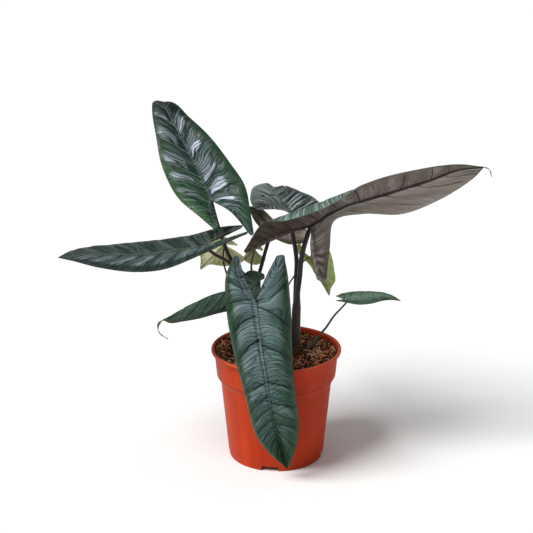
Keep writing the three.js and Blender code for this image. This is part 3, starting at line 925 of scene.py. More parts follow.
class HalfSurface:
    """The smooth surface of one half blade, by station along it and share across it."""

    TIP_HALF_WIDTH = 0.6
    LOBE_ROUNDING = 0.3
    FULL_WIDTH = 0.6
    LOOK_AHEAD = 0.3
    INLAND = 99.0

    def __init__(self, leaf: Leaf, half: Half, sign: int) -> None:
        """Lay the half's three lines.

        Args:
            leaf: The leaf.
            half: Its left or right half.
            sign: 1 for the left half and -1 for the right.
        """
        self.half = half
        self.sign = sign
        self.rear = len(half.sinus)
        self.bays = len(leaf.midrib) - 1
        self.last = self.rear + self.bays
        self.step = np.linalg.norm(np.subtract(leaf.midrib[-1], leaf.midrib[0])) / self.bays
        self.sinus = Spline([*half.sinus, leaf.midrib[0]])
        self.midrib = Spline(leaf.midrib)
        aside = np.subtract(half.margin[-1], leaf.midrib[-2]).astype(float)
        aside *= self.TIP_HALF_WIDTH / np.linalg.norm(aside)
        self.margin = Spline([*half.margin, tuple(np.add(leaf.midrib[-1], aside))])
        width = np.linalg.norm(self.sinus.at(0) - self.margin.at(0))
        heel = self.sinus.at(0) - self.sinus.at(1 / self.rear)
        self.heel = heel * self.LOBE_ROUNDING * width / np.linalg.norm(heel)

    def flat(self, station: np.ndarray, share: np.ndarray) -> np.ndarray:
        """Find places on the half before it bulges.

        Args:
            station: Stations along the half.
            share: Shares across it.

        Returns:
            The points.
        """
        held = np.clip(station, 0, self.last)
        inner = np.where((held < self.rear)[..., None], self.sinus.at(held / self.rear),
                         self.midrib.at((held - self.rear) / self.bays))
        outer = self.margin.at(held / self.last)
        rounding = 4 * share * (1 - share) * np.maximum(0, 1 - held) ** 2
        return inner + (outer - inner) * share[..., None] + self.heel * rounding[..., None]

    def patch(self, rows: int, across: np.ndarray) -> Patch:
        """Lay the arched half out on a grid.

        Args:
            rows: How many rows a station has.
            across: The columns' shares.

        Returns:
            The grid.
        """
        stations = np.linspace(0, self.last, self.last * rows + 1)
        station, share = np.meshgrid(stations, across, indexing="ij")
        edge = self.flat(station, np.ones_like(share))
        root = self.flat(station, np.zeros_like(share))
        width = np.linalg.norm(edge - root, axis=-1)
        narrow = np.minimum(1, width / (self.FULL_WIDTH * width.max()))
        along = self.flat(station + self.LOOK_AHEAD, share) - self.flat(station - self.LOOK_AHEAD, share)
        up = np.cross(along, edge - root) * self.sign
        up /= np.maximum(np.linalg.norm(up, axis=-1), 1e-9)[..., None]
        crest = self.half.crest
        peak = (crest / (crest + 1)) ** crest / (crest + 1)
        arch = graded(self.half.arch, station / self.last)
        swell = narrow * arch * share ** crest * (1 - share) / peak
        return Patch(station, share, self.flat(station, share) + up * swell[..., None], width, narrow)

    def inset(self, patch: Patch) -> np.ndarray:
        """Measure how far in from the half's free edges each place lies.

        Args:
            patch: The half's grid.

        Returns:
            The distances in millimetres.
        """
        station, share = patch.station, patch.share
        from_sinus = np.where(station >= self.rear, self.INLAND, share * patch.width)
        from_tip = (self.last - station) * self.step + self.TIP_HALF_WIDTH / 2
        sides = np.minimum((1 - share) * patch.width, from_sinus)
        return np.minimum(np.minimum(sides, from_tip), station * self.step)

    def lobe_rib(self, station: np.ndarray) -> np.ndarray:
        """Return the share at which the rear lobe's own rib runs, 0 in front of the petiole."""
        return 0.42 * np.clip(1 - station / self.rear, 0, 1) ** 0.75

    def veining(self, station: np.ndarray, share: np.ndarray) -> tuple[np.ndarray, np.ndarray]:
        """Place the primary veins, with four more past each end of the half's list.

        Args:
            station: Stations along the half.
            share: Shares across it.

        Returns:
            A number that is whole along each vein, and the station at which a strand through the place
            leaves the midrib.
        """
        away = np.abs(share - self.lobe_rib(station))
        veins = np.array(self.half.veins)
        first, last = veins[1] - veins[0], veins[-1] - veins[-2]
        steps = np.arange(1, 5)[:, None]
        veins = np.vstack([veins[0] - first * steps[::-1], veins, veins[-1] + last * steps])
        total = np.zeros_like(away)
        previous = None
        for start, end in veins:
            here = start + (end - start) * away ** 1.3 - self.half.bow * 4 * away * (1 - away)
            if previous is not None:
                total += np.clip((station - previous) / np.maximum(here - previous, 0.05), 0, 1)
            previous = here
        return total, np.interp(total, np.arange(len(veins)), veins[:, 0])

    def glint(self, patch: Patch, phase: np.ndarray) -> np.ndarray:
        """Work out where the half's silver shows: partly its own silvery tone, partly a painted highlight.

        Args:
            patch: The half's grid.
            phase: The number that is whole along each vein.

        Returns:
            How much of it shows at each place.
        """
        station, share = patch.station, patch.share
        low, high, strength = self.half.silver
        silver = strength * ease(share, low, low + 0.08) * (1 - ease(share, high - 0.15, high)) * patch.narrow
        wedge = self.half.wedge
        if wedge < 1:
            # Painted shading of each bay's dome: the silver fades from light to dark across the bay.
            fraction = phase - np.floor(phase)
            silver = silver * ease(fraction, 0.03, 0.07) * (1 - ease(fraction, 0.25 * wedge, wedge))
        start, end = self.half.shining
        return silver * ease(station, start - 0.4, start + 0.4) * (1 - ease(station, end - 0.5, end + 0.3))


@dataclass
class Plant:
    """The leaves' builder, with the sizes in millimetres that all leaves share.

    A petiole's stub is its last stretch, so many radii long, which is one with the blade. Crowding
    draws the blade's columns towards its midrib and margin. Each primary vein lies in a furrow above
    and stands out as a ridge below, the margin waves, and the creases wander. The midrib stands out
    below by rib_depth of the petiole's radius.
    """

    stalks: dict[StalkTone, bpy.types.Material]
    skins: dict[str, bpy.types.Material] = field(default_factory=dict)
    crown_top: float = 73.5
    foot_gap: float = 0.3
    soil_top: float = 100.5
    stub_radii: float = 4.2
    stalk_rings: int = 90
    stub_rings: int = 9
    stalk_sides: int = 24
    thread_rings: int = 60
    thread_sides: int = 12
    sheath_opening: float = 0.34
    lip_height: float = 0.1
    groove_depth: float = 0.16
    crowding: float = 0.09
    thickness: float = 0.62
    edge_thickness: float = 0.3
    furrow: float = 0.45
    margin_wave: float = 0.45
    wave_length: float = 26.0
    wander: float = 1.1
    wander_length: float = 15.0
    rib_depth: float = 0.75
    vein_ridge: float = 0.22

    def skin(self, skin: BladeSkin) -> bpy.types.Material:
        """Make a blade skin's material, once.

        Args:
            skin: The skin.

        Returns:
            Its material.
        """
        if skin.name not in self.skins:
            self.skins[skin.name] = skin.material()
        return self.skins[skin.name]

    def build(self, leaf: Leaf) -> None:
        """Make one leaf's petiole and blade, and dress them.

        Args:
            leaf: The leaf.
        """
        stalk, stub = self._stalk(leaf)
        petiole = make_piece(f"{leaf.name}_petiole", [stalk], [self.stalks[leaf.stalk]])
        slot = "petiole_olive" if leaf.stalk is StalkTone.OLIVE else "petiole_dark"
        hold(petiole, slot, f"petiole_{leaf.name}")
        shells = [self._sheet(leaf), stub]
        if leaf.thread:
            shells.append(self._thread(leaf))
        blade = make_piece(f"{leaf.name}_blade", shells, [self.skin(leaf.skin), self.stalks[leaf.stalk]])
        hold(blade, leaf.slot, f"blade_{leaf.name}")

    def _radius(self, leaf: Leaf, share: np.ndarray) -> np.ndarray:
        """Work out the petiole's radius, widest in its sheathing foot.

        Args:
            leaf: The leaf.
            share: Shares of the petiole's length.

        Returns:
            The radius at each.
        """
        foot, top = leaf.radius
        sheath = 1 - ease(share, *leaf.sheath)
        return top + (foot - top) * (0.35 * (1 - share) + 0.65 * sheath)

    def _section(self, shares: np.ndarray) -> np.ndarray:
        """Shape the petiole's rings: a little flat, with a groove between two lips up its foot.

        Args:
            shares: Shares of the petiole's length.

        Returns:
            Factors on the radius, by ring and side.
        """
        angles = np.linspace(0, math.tau, self.stalk_sides, endpoint=False)
        turn = np.abs((angles - 0.4 + math.pi) % math.tau - math.pi)
        opening = ease(self.sheath_opening - shares, 0.0, 0.12)[:, None]
        groove = np.exp(-(turn / 0.32) ** 2)
        lips = np.exp(-((turn - 0.6) / 0.22) ** 2)
        flatness = 0.025 * np.cos(2 * angles)
        return 1 + opening * (self.lip_height * lips - self.groove_depth * groove) + flatness

    def _stalk(self, leaf: Leaf) -> tuple[Shell, Shell]:
        """Sweep the petiole from the crown to the blade.

        Args:
            leaf: The leaf.

        Returns:
            The petiole and the stub of it that is one with the blade.
        """
        x, y = leaf.foot
        line = Spline([(x, y, self.crown_top + self.foot_gap), (x, y, self.crown_top + 13),
                       (x, y, self.soil_top + 1), *leaf.route, leaf.midrib[0]])
        end = 1 - self.stub_radii * leaf.radius[1] / line.length()
        shares = np.concatenate([np.linspace(0, end, self.stalk_rings),
                                 np.linspace(end, 1, self.stub_rings)[1:]])
        centres = line.spaced(shares)
        radii = self._radius(leaf, np.minimum(shares, end))
        rings, angles = tube_rings(centres, radii, self.stalk_sides, self._section(shares))
        height = np.clip((centres[:, 2] - self.soil_top) / 60, -1, 4)[:, None]
        marks = {"height": np.broadcast_to(height, rings.shape[:2]),
                 "angle": np.broadcast_to(np.abs(angles / math.pi - 1), rings.shape[:2])}
        cut = self.stalk_rings
        stalk = tube_shell(rings[:cut], {key: value[:cut] for key, value in marks.items()})
        stub = tube_shell(rings[cut - 1:], {key: value[cut - 1:] for key, value in marks.items()}, finish=1)
        return stalk, stub

    def _thread(self, leaf: Leaf) -> Shell:
        """Sweep the withered thread that the tip runs out into, flat and twisted.

        Args:
            leaf: The leaf.

        Returns:
            The thread, with what its blade's material reads.
        """
        tip, before = np.array(leaf.midrib[-1], float), np.array(leaf.midrib[-2], float)
        line = Spline([tuple(before + (tip - before) * 0.85), tuple(tip), *leaf.thread])
        shares = np.linspace(0, 1, self.thread_rings)
        radii = graded(leaf.thread_radius, shares)
        angles = np.linspace(0, math.tau, self.thread_sides, endpoint=False)
        flatness = 1 - 0.35 * np.cos(2 * (angles[None, :] + 9 * shares[:, None]))
        rings, _ = tube_rings(line.spaced(shares), radii * 0.8, self.thread_sides, flatness)
        marks = {"along": 1.0, "under": 1.0, "share": 0.5, "crest": 0.4, "phase": 0.5,
                 "edge": shares[:, None] * 0.9}
        return tube_shell(rings, marks)

    def _halves(self, leaf: Leaf) -> tuple[np.ndarray, dict[str, np.ndarray], np.ndarray]:
        """Lay a blade's two halves out and join them along the midrib.

        Args:
            leaf: The leaf.

        Returns:
            The points, the numbers at them, and the quads.
        """
        even = np.linspace(0, 1, leaf.columns + 1)
        across = even - self.crowding * np.sin(math.tau * even)
        points, marks, quads = [], [], []
        spine: np.ndarray | None = None
        count = 0
        for half, sign in ((leaf.left, 1), (leaf.right, -1)):
            surface = HalfSurface(leaf, half, sign)
            patch = surface.patch(leaf.rows, across)
            ids = np.arange(patch.share.size).reshape(patch.share.shape) + count
            first = surface.rear * leaf.rows
            if spine is None:
                spine = ids[first:, 0].copy()
            ids[first:, 0] = spine
            block = np.stack([ids[:-1, :-1], ids[1:, :-1], ids[1:, 1:], ids[:-1, 1:]], -1).reshape(-1, 4)
            quads.append(block[:, ::sign])
            points.append(patch.place.reshape(-1, 3))
            marks.append(self._marks(leaf, surface, patch))
            count += patch.share.size
        used, faces = np.unique(np.vstack(quads), return_inverse=True)
        mark = {key: np.concatenate([part[key].reshape(-1) for part in marks])[used] for key in marks[0]}
        return np.vstack(points)[used], mark, faces.reshape(-1, 4)

    def _sheet(self, leaf: Leaf) -> Shell:
        """Give a blade its relief, its thickness and the ribs that stand out below.

        Args:
            leaf: The leaf.

        Returns:
            The blade as one closed sheet.
        """
        place, mark, faces = self._halves(leaf)
        normal = corner_normals(place, faces)
        middle = place + normal * mark.pop("relief")[:, None]
        thick = mark.pop("thick")
        top = middle + normal * (thick / 2)[:, None]
        bottom = middle - normal * (thick / 2 + mark.pop("ridge"))[:, None]
        total = len(place)
        rim = open_edges(faces, total)
        walls = np.stack([rim[:, 0], rim[:, 0] + total, rim[:, 1] + total, rim[:, 1]], -1)
        keel = mark.pop("keel")
        below = {**mark, "rib": keel}
        full = {key: np.concatenate([value, below[key]]) for key, value in mark.items()}
        full["under"] = np.concatenate([np.zeros(total), np.ones(total)])
        return Shell(np.vstack([top, bottom]), [faces, faces[:, ::-1] + total, walls], full).outward()

    def _marks(self, leaf: Leaf, surface: HalfSurface, patch: Patch) -> dict[str, np.ndarray]:
        """Work out the heights and the painted numbers of a half blade.

        Args:
            leaf: The leaf.
            surface: The half's surface.
            patch: The half's grid.

        Returns:
            Numbers by name at each place. Relief, thick and ridge are heights in millimetres, keel is
            the rib's number on the underside, and the rest are the mesh's attributes.
        """
        half, top, rear = surface.half, leaf.radius[1], surface.rear
        station, share, narrow = patch.station, patch.share, patch.narrow
        phase, strand = surface.veining(station, share)
        apart = np.abs(phase - np.rint(phase))
        front = station >= rear
        edge = surface.inset(patch)
        forward = np.clip((station - rear) / surface.bays, 0, 1)
        from_rib = np.abs(share - surface.lobe_rib(station)) * patch.width
        rib_half = top * (1.05 - 0.75 * forward) * np.where(front, 1, 0.45 + 0.55 * station / rear)
        rib = np.sqrt(np.clip(1 - (from_rib / (rib_half * 1.25)) ** 2, 0, 1))
        rooted = np.clip(station / rear, 0, 1) ** 2
        spread = 1.2 + (leaf.keel - 1.2) * rooted
        open_face = np.sin(math.pi * np.clip(share, 0, 1)) ** 0.6 * narrow * ease(edge, 0.0, 3.0)
        wobble = Ripple(leaf.seed, self.wave_length).at(patch.place)
        wander = self.wander * Ripple(leaf.seed + 1, self.wander_length).at(patch.place)
        flow = strand * surface.step + wander + half.dome * 4 * share * np.clip(1 - share, 0, 1)
        reach = share * patch.width
        depth = cell_depth(flow / half.cell[0], reach / half.cell[1], leaf.seed * 2 + surface.sign)
        crest = ease(depth, 0.0, 0.8)
        pillow = np.sin(math.pi * apart) ** 0.7
        groove = np.exp(-(apart / 0.045) ** 2)
        folds = leaf.wrinkle * 2 * half.fold * (crest - 0.5)
        relief = open_face * (leaf.pillow * (pillow - 0.62) - self.furrow * groove + folds)
        relief += self.margin_wave * wobble * share ** 2 * narrow * ease(edge, 0.0, 6.0)
        beside = np.exp(-((from_rib - 1.25 * rib_half) / (0.75 * rib_half + 0.2)) ** 2)
        relief -= leaf.valley * beside * ease(narrow, 0.1, 0.5)
        ridge = rib * top * self.rib_depth * (1 - 0.72 * forward)
        ridge = ridge * np.where(front, 1, 0.3 + 0.5 * station / rear)
        ridge = ridge + self.vein_ridge * np.exp(-(apart / 0.03) ** 2) * open_face
        along = station / surface.last
        return {
            "relief": relief,
            "thick": self.edge_thickness + (self.thickness - self.edge_thickness) * ease(edge, 0.0, 2.5),
            "ridge": ridge,
            "phase": phase,
            "flow": flow * half.fine,
            "reach": reach,
            # Where the folds' tops take painted highlight and their hollows painted shade.
            "crest": 0.5 + (0.5 + (crest - 1) * open_face) * half.fold_light_and_shade,
            "share": share,
            "along": along,
            "edge": 1 - np.clip(edge / 0.9, 0, 1),
            "rib": np.exp(-(from_rib / (0.25 + 0.3 * rib_half)) ** 2),
            "keel": (1 - ease(from_rib / rib_half / spread, 0.5, 1.0)) * (0.25 + 0.75 * rooted),
            "silver": surface.glint(patch, phase),
            "tint": half.tint[0] + (half.tint[1] - half.tint[0]) * along,
            "pale": np.full_like(share, half.pale),
        }


# Pot and potting mix


def turn_rings(name: str, profile: list[Pair], segments: int) -> bpy.types.Object:
    """Model a turned body: a disc whose edge is extruded ring by ring and closed at the end.

    Args:
        name: The piece's name.
        profile: Radius and height of each ring, in millimetres, from the lower to the upper disc.
        segments: How many sides a ring has.

    Returns:
        The new object.
    """
    bpy.ops.object.select_all(action="DESELECT")
    (radius, height), rest = profile[0], profile[1:]
    bpy.ops.mesh.primitive_circle_add(vertices=segments, radius=radius * MM, fill_type="TRIFAN",
                                      location=(0, 0, height * MM))
    piece = bpy.context.object
    piece.name = piece.data.name = name
    bpy.ops.object.transform_apply(location=True, rotation=True, scale=True)
    bpy.ops.object.mode_set(mode="EDIT")
    bpy.ops.mesh.select_mode(type="EDGE")
    bpy.ops.mesh.select_all(action="DESELECT")
    bpy.ops.mesh.select_non_manifold()
    for next_radius, next_height in rest:
        bpy.ops.mesh.extrude_edges_move(
            TRANSFORM_OT_translate={"value": (0, 0, (next_height - height) * MM)})
        scale = next_radius / radius
        bpy.ops.transform.resize(value=(scale, scale, 1), center_override=(0, 0, next_height * MM))
        radius, height = next_radius, next_height
    bpy.ops.mesh.fill()
    bpy.ops.mesh.select_all(action="SELECT")
    bpy.ops.mesh.remove_doubles(threshold=1e-7)
    bpy.ops.mesh.normals_make_consistent(inside=False)
    bpy.ops.object.mode_set(mode="OBJECT")
    return piece


def cut_away(piece: bpy.types.Object, cutter: bpy.types.Object) -> None:
    """Cut a tool's shape out of a piece and remove the tool.

    Args:
        piece: The piece.
        cutter: The tool.
    """
    bpy.ops.object.select_all(action="DESELECT")
    piece.select_set(True)
    bpy.context.view_layer.objects.active = piece
    bpy.ops.object.modifier_add(type="BOOLEAN")
    modifier = piece.modifiers[-1]
    modifier.operation, modifier.object, modifier.solver = "DIFFERENCE", cutter, "EXACT"
    bpy.ops.object.modifier_apply(modifier=modifier.name)
    bpy.data.objects.remove(cutter)


@dataclass
class NurseryPot:
    """The tapered plastic pot: foot ring with notches, drained base, shoulder, band and rolled rim.

    Sizes are in millimetres. The pot stands on the middle of its base, up to channel_start, and on its
    foot ring, with the drained channel between them.
    """

    height: float = 105.0
    rim_radius: float = 60.0
    foot_radius: float = 43.6
    band_bottom: float = 79.8
    band_radius: float = 55.0
    shoulder_height: float = 73.0
    shoulder_radius: float = 51.2
    wall: float = 1.5
    channel_height: float = 5.0
    channel_start: float = 19.0
    notch_width: float = 15.5
    notch_height: float = 4.2
    notch_rounding: float = 0.8
    notch_angle: float = -97.5
    notches: int = 4
    drain_radius: float = 4.5
    drain_ring: float = 31.0
    drains: int = 8
    segments: int = 160

    def profile(self) -> list[Pair]:
        """Draw the pot's section from the middle of its underside to the middle of its floor.

        Returns:
            The radius and height of each ring. The small offsets are the mould's roundings and steps.
        """
        foot, wall, channel = self.foot_radius, self.wall, self.channel_height
        rim, top, band = self.rim_radius, self.height, self.band_radius
        shoulder, step = self.shoulder_radius, self.band_bottom
        roll = [(rim - 0.62, top - 3.0), (rim - 0.25, top - 2.75), (rim, top - 2.2), (rim, top - 1.4),
                (rim - 0.1, top - 0.75), (rim - 0.4, top - 0.25), (rim - 0.9, top), (rim - 2.1, top),
                (rim - 2.6, top - 0.25), (rim - 3.0, top - 0.8), (rim - 3.35, top - 1.6)]
        return [
            (3, 0), (9, 0), (self.channel_start - 0.5, 0), (self.channel_start + 0.1, 0.3),
            (self.channel_start + 1.9, channel - 0.3), (self.channel_start + 2.5, channel),
            (foot - wall - 0.5, channel), (foot - wall, channel - 0.5), (foot - wall, 0.4),
            (foot - wall + 0.3, 0), (foot - 0.3, 0), (foot, 0.3), (foot + 0.35, channel - 0.6),
            (foot + 0.45, channel - 0.1), (foot + 0.85, channel + 0.4), (foot + 1.0, channel + 1.2),
            *self._wall_rings(foot + 1.0, channel + 1.2, shoulder - 0.05, self.shoulder_height - 0.6, 12),
            (shoulder + 0.05, self.shoulder_height + 0.2), (shoulder + 0.6, self.shoulder_height + 1.4),
            (band - 0.55, step - 1.0), (band - 0.12, step - 0.3), (band + 0.02, step + 0.35),
            *self._wall_rings(band + 0.02, step + 0.35, rim - 3.05, top - 3.9, 5),
            (rim - 2.85, top - 3.45), (rim - 2.2, top - 3.2), (rim - 1.2, top - 3.1), *roll,
            (rim - 3 - wall, top - 4), *self._wall_rings(rim - 3 - wall, top - 4, band - wall, step + 0.8, 4),
            (band - wall - 0.3, step + 0.2), (shoulder - wall + 0.2, self.shoulder_height + 1.2),
            (shoulder - wall, self.shoulder_height + 0.5),
            *self._wall_rings(shoulder - wall, self.shoulder_height + 0.5, foot - 0.7, channel + wall + 1, 5),
            (foot - wall, channel + wall), (self.channel_start + 1, channel + wall),
            (self.channel_start - 1, wall), (3, wall),
        ]

    @staticmethod
    def _wall_rings(low: float, start: float, high: float, end: float, count: int) -> list[Pair]:
        """Return rings up or down a straight wall, without its first point."""
        shares = [(i + 1) / count for i in range(count)]
        return [(low + (high - low) * s, start + (end - start) * s) for s in shares]

    def build(self, material: bpy.types.Material) -> bpy.types.Object:
        """Turn the pot, cut its notches and drain holes, and dress it.

        Args:
            material: The pot's finish.

        Returns:
            The pot.
        """
        pot = turn_rings("nursery_pot", self.profile(), self.segments)
        for i in range(self.notches):
            cut_away(pot, self._notch(math.radians(self.notch_angle + 90 + 360 / self.notches * i)))
        for i in range(self.drains):
            cut_away(pot, self._drain(math.tau * i / self.drains))
        bpy.ops.object.select_all(action="DESELECT")
        pot.select_set(True)
        bpy.context.view_layer.objects.active = pot
        bpy.ops.object.shade_smooth_by_angle(angle=math.radians(28))
        pot.data.materials.clear()
        pot.data.materials.append(material)
        return hold(pot, "pot", "pot")

    def _notch(self, angle: float) -> bpy.types.Object:
        """Model the tool for one foot notch, a block with rounded upper corners.

        Args:
            angle: How far round from the front the notch is, in radians.

        Returns:
            The tool.
        """
        bpy.ops.object.select_all(action="DESELECT")
        bpy.ops.mesh.primitive_cube_add(size=1, location=(0, 0, 0))
        tool = bpy.context.object
        bpy.ops.object.mode_set(mode="EDIT")
        bpy.ops.transform.resize(value=(self.notch_width * MM, 14 * MM, (self.notch_height + 1) * MM))
        bpy.ops.mesh.select_all(action="DESELECT")
        bpy.ops.object.mode_set(mode="OBJECT")
        for edge in tool.data.edges:
            ends = [tool.data.vertices[i].co for i in edge.vertices]
            edge.select = all(end.z > 0 for end in ends) and abs(ends[0].y - ends[1].y) > 1e-4
        bpy.ops.object.mode_set(mode="EDIT")
        bpy.ops.mesh.bevel(offset=self.notch_rounding * MM, segments=4)
        bpy.ops.mesh.select_all(action="SELECT")
        bpy.ops.transform.translate(value=(0, -self.foot_radius * MM, (self.notch_height / 2 - 0.5) * MM))
        bpy.ops.object.mode_set(mode="OBJECT")
        tool.rotation_euler.z = angle
        bpy.ops.object.transform_apply(location=True, rotation=True, scale=True)
        return tool

    def _drain(self, angle: float) -> bpy.types.Object:
        """Model the tool for one drain hole.

        Args:
            angle: How far round from the right the hole is, in radians.

        Returns:
            The tool.
        """
        place = (self.drain_ring * math.cos(angle) * MM, self.drain_ring * math.sin(angle) * MM,
                 (self.channel_height + 1) * MM)
        bpy.ops.object.select_all(action="DESELECT")
        bpy.ops.mesh.primitive_cylinder_add(
            vertices=32, radius=self.drain_radius * MM, depth=self.wall * 4 * MM, location=place)
        return bpy.context.object


@dataclass
class PottingMix:
    """Bark, coir and peat: a crumbly bed with loose chips and fibres on it, in millimetres.

    The bed fills the pot up to edge, rises towards the wall in front and at the left by front_rise,
    and by back_drop less at the back. Crumbs are the height of its finest lumps. Wall_heights and
    wall_radii say where the pot's inner wall is. The first fibres, as many as tangled, lie loose round
    the tangle, and feet are the petioles' places and radii, which chips and fibres keep clear of.
    """

    top: float = 100.5
    edge: float = 54.45
    rings: int = 46
    segments: int = 120
    roughness: float = 1.1
    crumbs: float = 0.45
    front_rise: float = 2.6
    back_drop: float = 3.1
    wall_heights: Point = (80.6, 101.0, 103.4)
    wall_radii: Point = (53.5, 55.5, 56.65)
    moulds: int = 8
    chips: int = 2300
    chip_reach: float = 56.0
    dark_chips: float = 0.46
    fibres: int = 210
    fibre_reach: float = 50.0
    fibre_steps: int = 11
    fibre_limit: float = 52.5
    tangled: int = 24
    tangle: Pair = (36.0, -6.0)
    tangle_spread: float = 6.0
    clearance: float = 0.9
    feet: tuple[Point, ...] = ()
    seed: int = 11

    def level(self, x: np.ndarray, y: np.ndarray) -> np.ndarray:
        """Work out the bed's height.

        Args:
            x: Places to the right.
            y: Places to the back.

        Returns:
            The height at each place.
        """
        flat = np.stack([x, y, np.zeros_like(x)], -1)
        wave = Ripple(self.seed, 24.0).at(flat) * 0.6 + Ripple(self.seed + 1, 7.0).at(flat) * 0.5
        away = np.hypot(x, y)
        back = ease(0.35 * x + 0.94 * y, 5, 45)
        return (self.top + 0.2 + self.roughness * wave * (1 - ease(away, 47, 54))
                + (self.front_rise - self.back_drop * back) * ease(away, 36, 52))

    def _wall(self, height: np.ndarray) -> np.ndarray:
        """Return the distance of the pot's inner wall from its axis at a height."""
        return np.interp(height, self.wall_heights, self.wall_radii)

    def build_bed(self, material: bpy.types.Material) -> bpy.types.Object:
        """Turn the body of the mix, roughen its top and dress it.

        Args:
            material: The bed's finish.

        Returns:
            The bed.
        """
        side = [(3, 1.95), (17.55, 1.95), (19.55, 6.95), (42.45, 6.95), (45.85, 40.0), (49.25, 73.8),
                (53.05, 80.6), (self.edge, 93.5), (self.edge + 0.5, 98.5)]
        rings = [(radius, self.top) for radius in np.linspace(self.edge + 0.75, 1.2, self.rings)]
        bed = turn_rings("potting_mix", side + rings, self.segments)
        mesh = bed.data
        self._roughen(mesh)
        mesh.polygons.foreach_set("use_smooth", [True] * len(mesh.polygons))
        mesh.update()
        mesh.materials.clear()
        mesh.materials.append(material)
        return hold(bed, "soil", "soil")

    def _roughen(self, mesh: bpy.types.Mesh) -> None:
        """Raise the bed's top to its level and spread its outer rings to the wall.

        Args:
            mesh: The bed's mesh.
        """
        place = np.zeros(len(mesh.vertices) * 3)
        mesh.vertices.foreach_get("co", place)
        place = place.reshape(-1, 3) / MM
        upper = place[:, 2] > self.top - 0.1
        fine = Ripple(self.seed + 2, 3.0).at(place) * self.crumbs
        place[upper, 2] = (self.level(place[:, 0], place[:, 1]) + fine)[upper]
        away = np.hypot(place[:, 0], place[:, 1])
        outer = upper & (away > self.edge)
        place[outer, :2] *= ((self._wall(place[outer, 2]) - 0.2) / away[outer])[:, None]
        mesh.vertices.foreach_set("co", (place * MM).reshape(-1))

    def _scatter(self, rng: np.random.Generator, count: int, reach: float) -> np.ndarray:
        """Draw places on the bed that keep clear of the petioles' feet.

        Args:
            rng: The source of the draws.
            count: How many places.
            reach: How far from the pot's axis they may be.

        Returns:
            The places.
        """
        places: list[Pair] = []
        while len(places) < count:
            away, angle = reach * math.sqrt(rng.random()), math.tau * rng.random()
            x, y = away * math.cos(angle), away * math.sin(angle)
            if all(math.hypot(x - fx, y - fy) > radius + self.clearance for fx, fy, radius in self.feet):
                places.append((x, y))
        return np.array(places)

    def _moulds(self, rng: np.random.Generator) -> list[tuple[np.ndarray, np.ndarray]]:
        """Model a few scraps from a ball of 20 faces, each pulled into its own broken shape.

        Args:
            rng: The source of the draws.

        Returns:
            Each scrap's points and faces.
        """
        moulds = []
        for _ in range(self.moulds):
            bpy.ops.object.select_all(action="DESELECT")
            bpy.ops.mesh.primitive_ico_sphere_add(subdivisions=1, radius=1, location=(0, 0, 0))
            scrap = bpy.context.object
            bpy.ops.object.mode_set(mode="EDIT")
            bpy.ops.mesh.select_all(action="SELECT")
            bpy.ops.transform.vertex_random(offset=0.35, seed=int(rng.integers(1, 9999)))
            bpy.ops.object.mode_set(mode="OBJECT")
            place = np.array([vertex.co for vertex in scrap.data.vertices])
            faces = np.array([polygon.vertices for polygon in scrap.data.polygons])
            moulds.append((place, faces))
            bpy.data.objects.remove(scrap)
        return moulds

    def build_chips(self, material: bpy.types.Material) -> bpy.types.Object:
        """Strew the chips over the bed.

        Args:
            material: The chips' finish.

        Returns:
            The chips as one piece.
        """
        rng = np.random.default_rng(self.seed)
        moulds = self._moulds(rng)
        places = self._scatter(rng, self.chips, self.chip_reach)
        piece = make_piece("bark_chips", [self._chip(rng, moulds, x, y) for x, y in places], [material])
        piece.data.polygons.foreach_set("use_smooth", [False] * len(piece.data.polygons))
        return hold(piece, "soil")

    def _chip(self, rng: np.random.Generator, moulds: list[tuple[np.ndarray, np.ndarray]], x: float,
              y: float) -> Shell:
        """Lay one chip, which is smaller near the wall and stays inside it.

        Args:
            rng: The source of the draws.
            moulds: The scraps to choose from.
            x: The chip's place to the right.
            y: Its place to the back.

        Returns:
            The chip with its tone.
        """
        place, faces = moulds[int(rng.integers(len(moulds)))]
        long = rng.gamma(4.0, 0.3) + 0.75
        size = np.array([long * 1.35, long * rng.uniform(0.2, 0.6), long * rng.uniform(0.14, 0.36)])
        size *= 1 - 0.5 * float(ease(np.array(math.hypot(x, y)), 52.5, 55.0))
        turn = self._turn(rng, 0.55)
        lift = float(self.level(np.array(x), np.array(y))) + rng.uniform(-0.5, 1.0)
        points = (place * size) @ turn.T + np.array([x, y, lift])
        off = np.hypot(points[:, 0], points[:, 1])
        points[:, :2] *= np.minimum(1, (self._wall(points[:, 2]) - 0.1) / off)[:, None]
        if rng.random() < self.dark_chips:
            tone = rng.uniform(0.0, 0.2)
        else:
            tone = np.clip(rng.normal(0.78, 0.18), 0, 1)
        return Shell(points, [faces], {"tone": np.full(len(points), tone)})

    @staticmethod
    def _turn(rng: np.random.Generator, tilt: float) -> np.ndarray:
        """Draw a turn about the upright axis with a small tilt.

        Args:
            rng: The source of the draws.
            tilt: How large a tilt is usual, in radians.

        Returns:
            The turn as a matrix.
        """
        a, b, c = rng.uniform(0, math.tau), rng.normal(0, tilt), rng.normal(0, tilt)
        spin = np.array([[math.cos(a), -math.sin(a), 0], [math.sin(a), math.cos(a), 0], [0, 0, 1]])
        lean = np.array([[1, 0, 0], [0, math.cos(b), -math.sin(b)], [0, math.sin(b), math.cos(b)]])
        pitch = np.array([[math.cos(c), 0, math.sin(c)], [0, 1, 0], [-math.sin(c), 0, math.cos(c)]])
        return spin @ lean @ pitch

    def build_fibres(self, material: bpy.types.Material) -> bpy.types.Object:
        """Lay curled coir fibres over the chips.

        Args:
            material: The fibres' finish.

        Returns:
            The fibres as one piece.
        """
        rng = np.random.default_rng(self.seed + 5)
        places = self._scatter(rng, self.fibres, self.fibre_reach)
        places[:self.tangled] = np.array(self.tangle) + rng.normal(0, self.tangle_spread, (self.tangled, 2))
        shells = [self._fibre(rng, x, y, i < self.tangled) for i, (x, y) in enumerate(places)]
        return hold(make_piece("coir_fibres", shells, [material]), "soil")

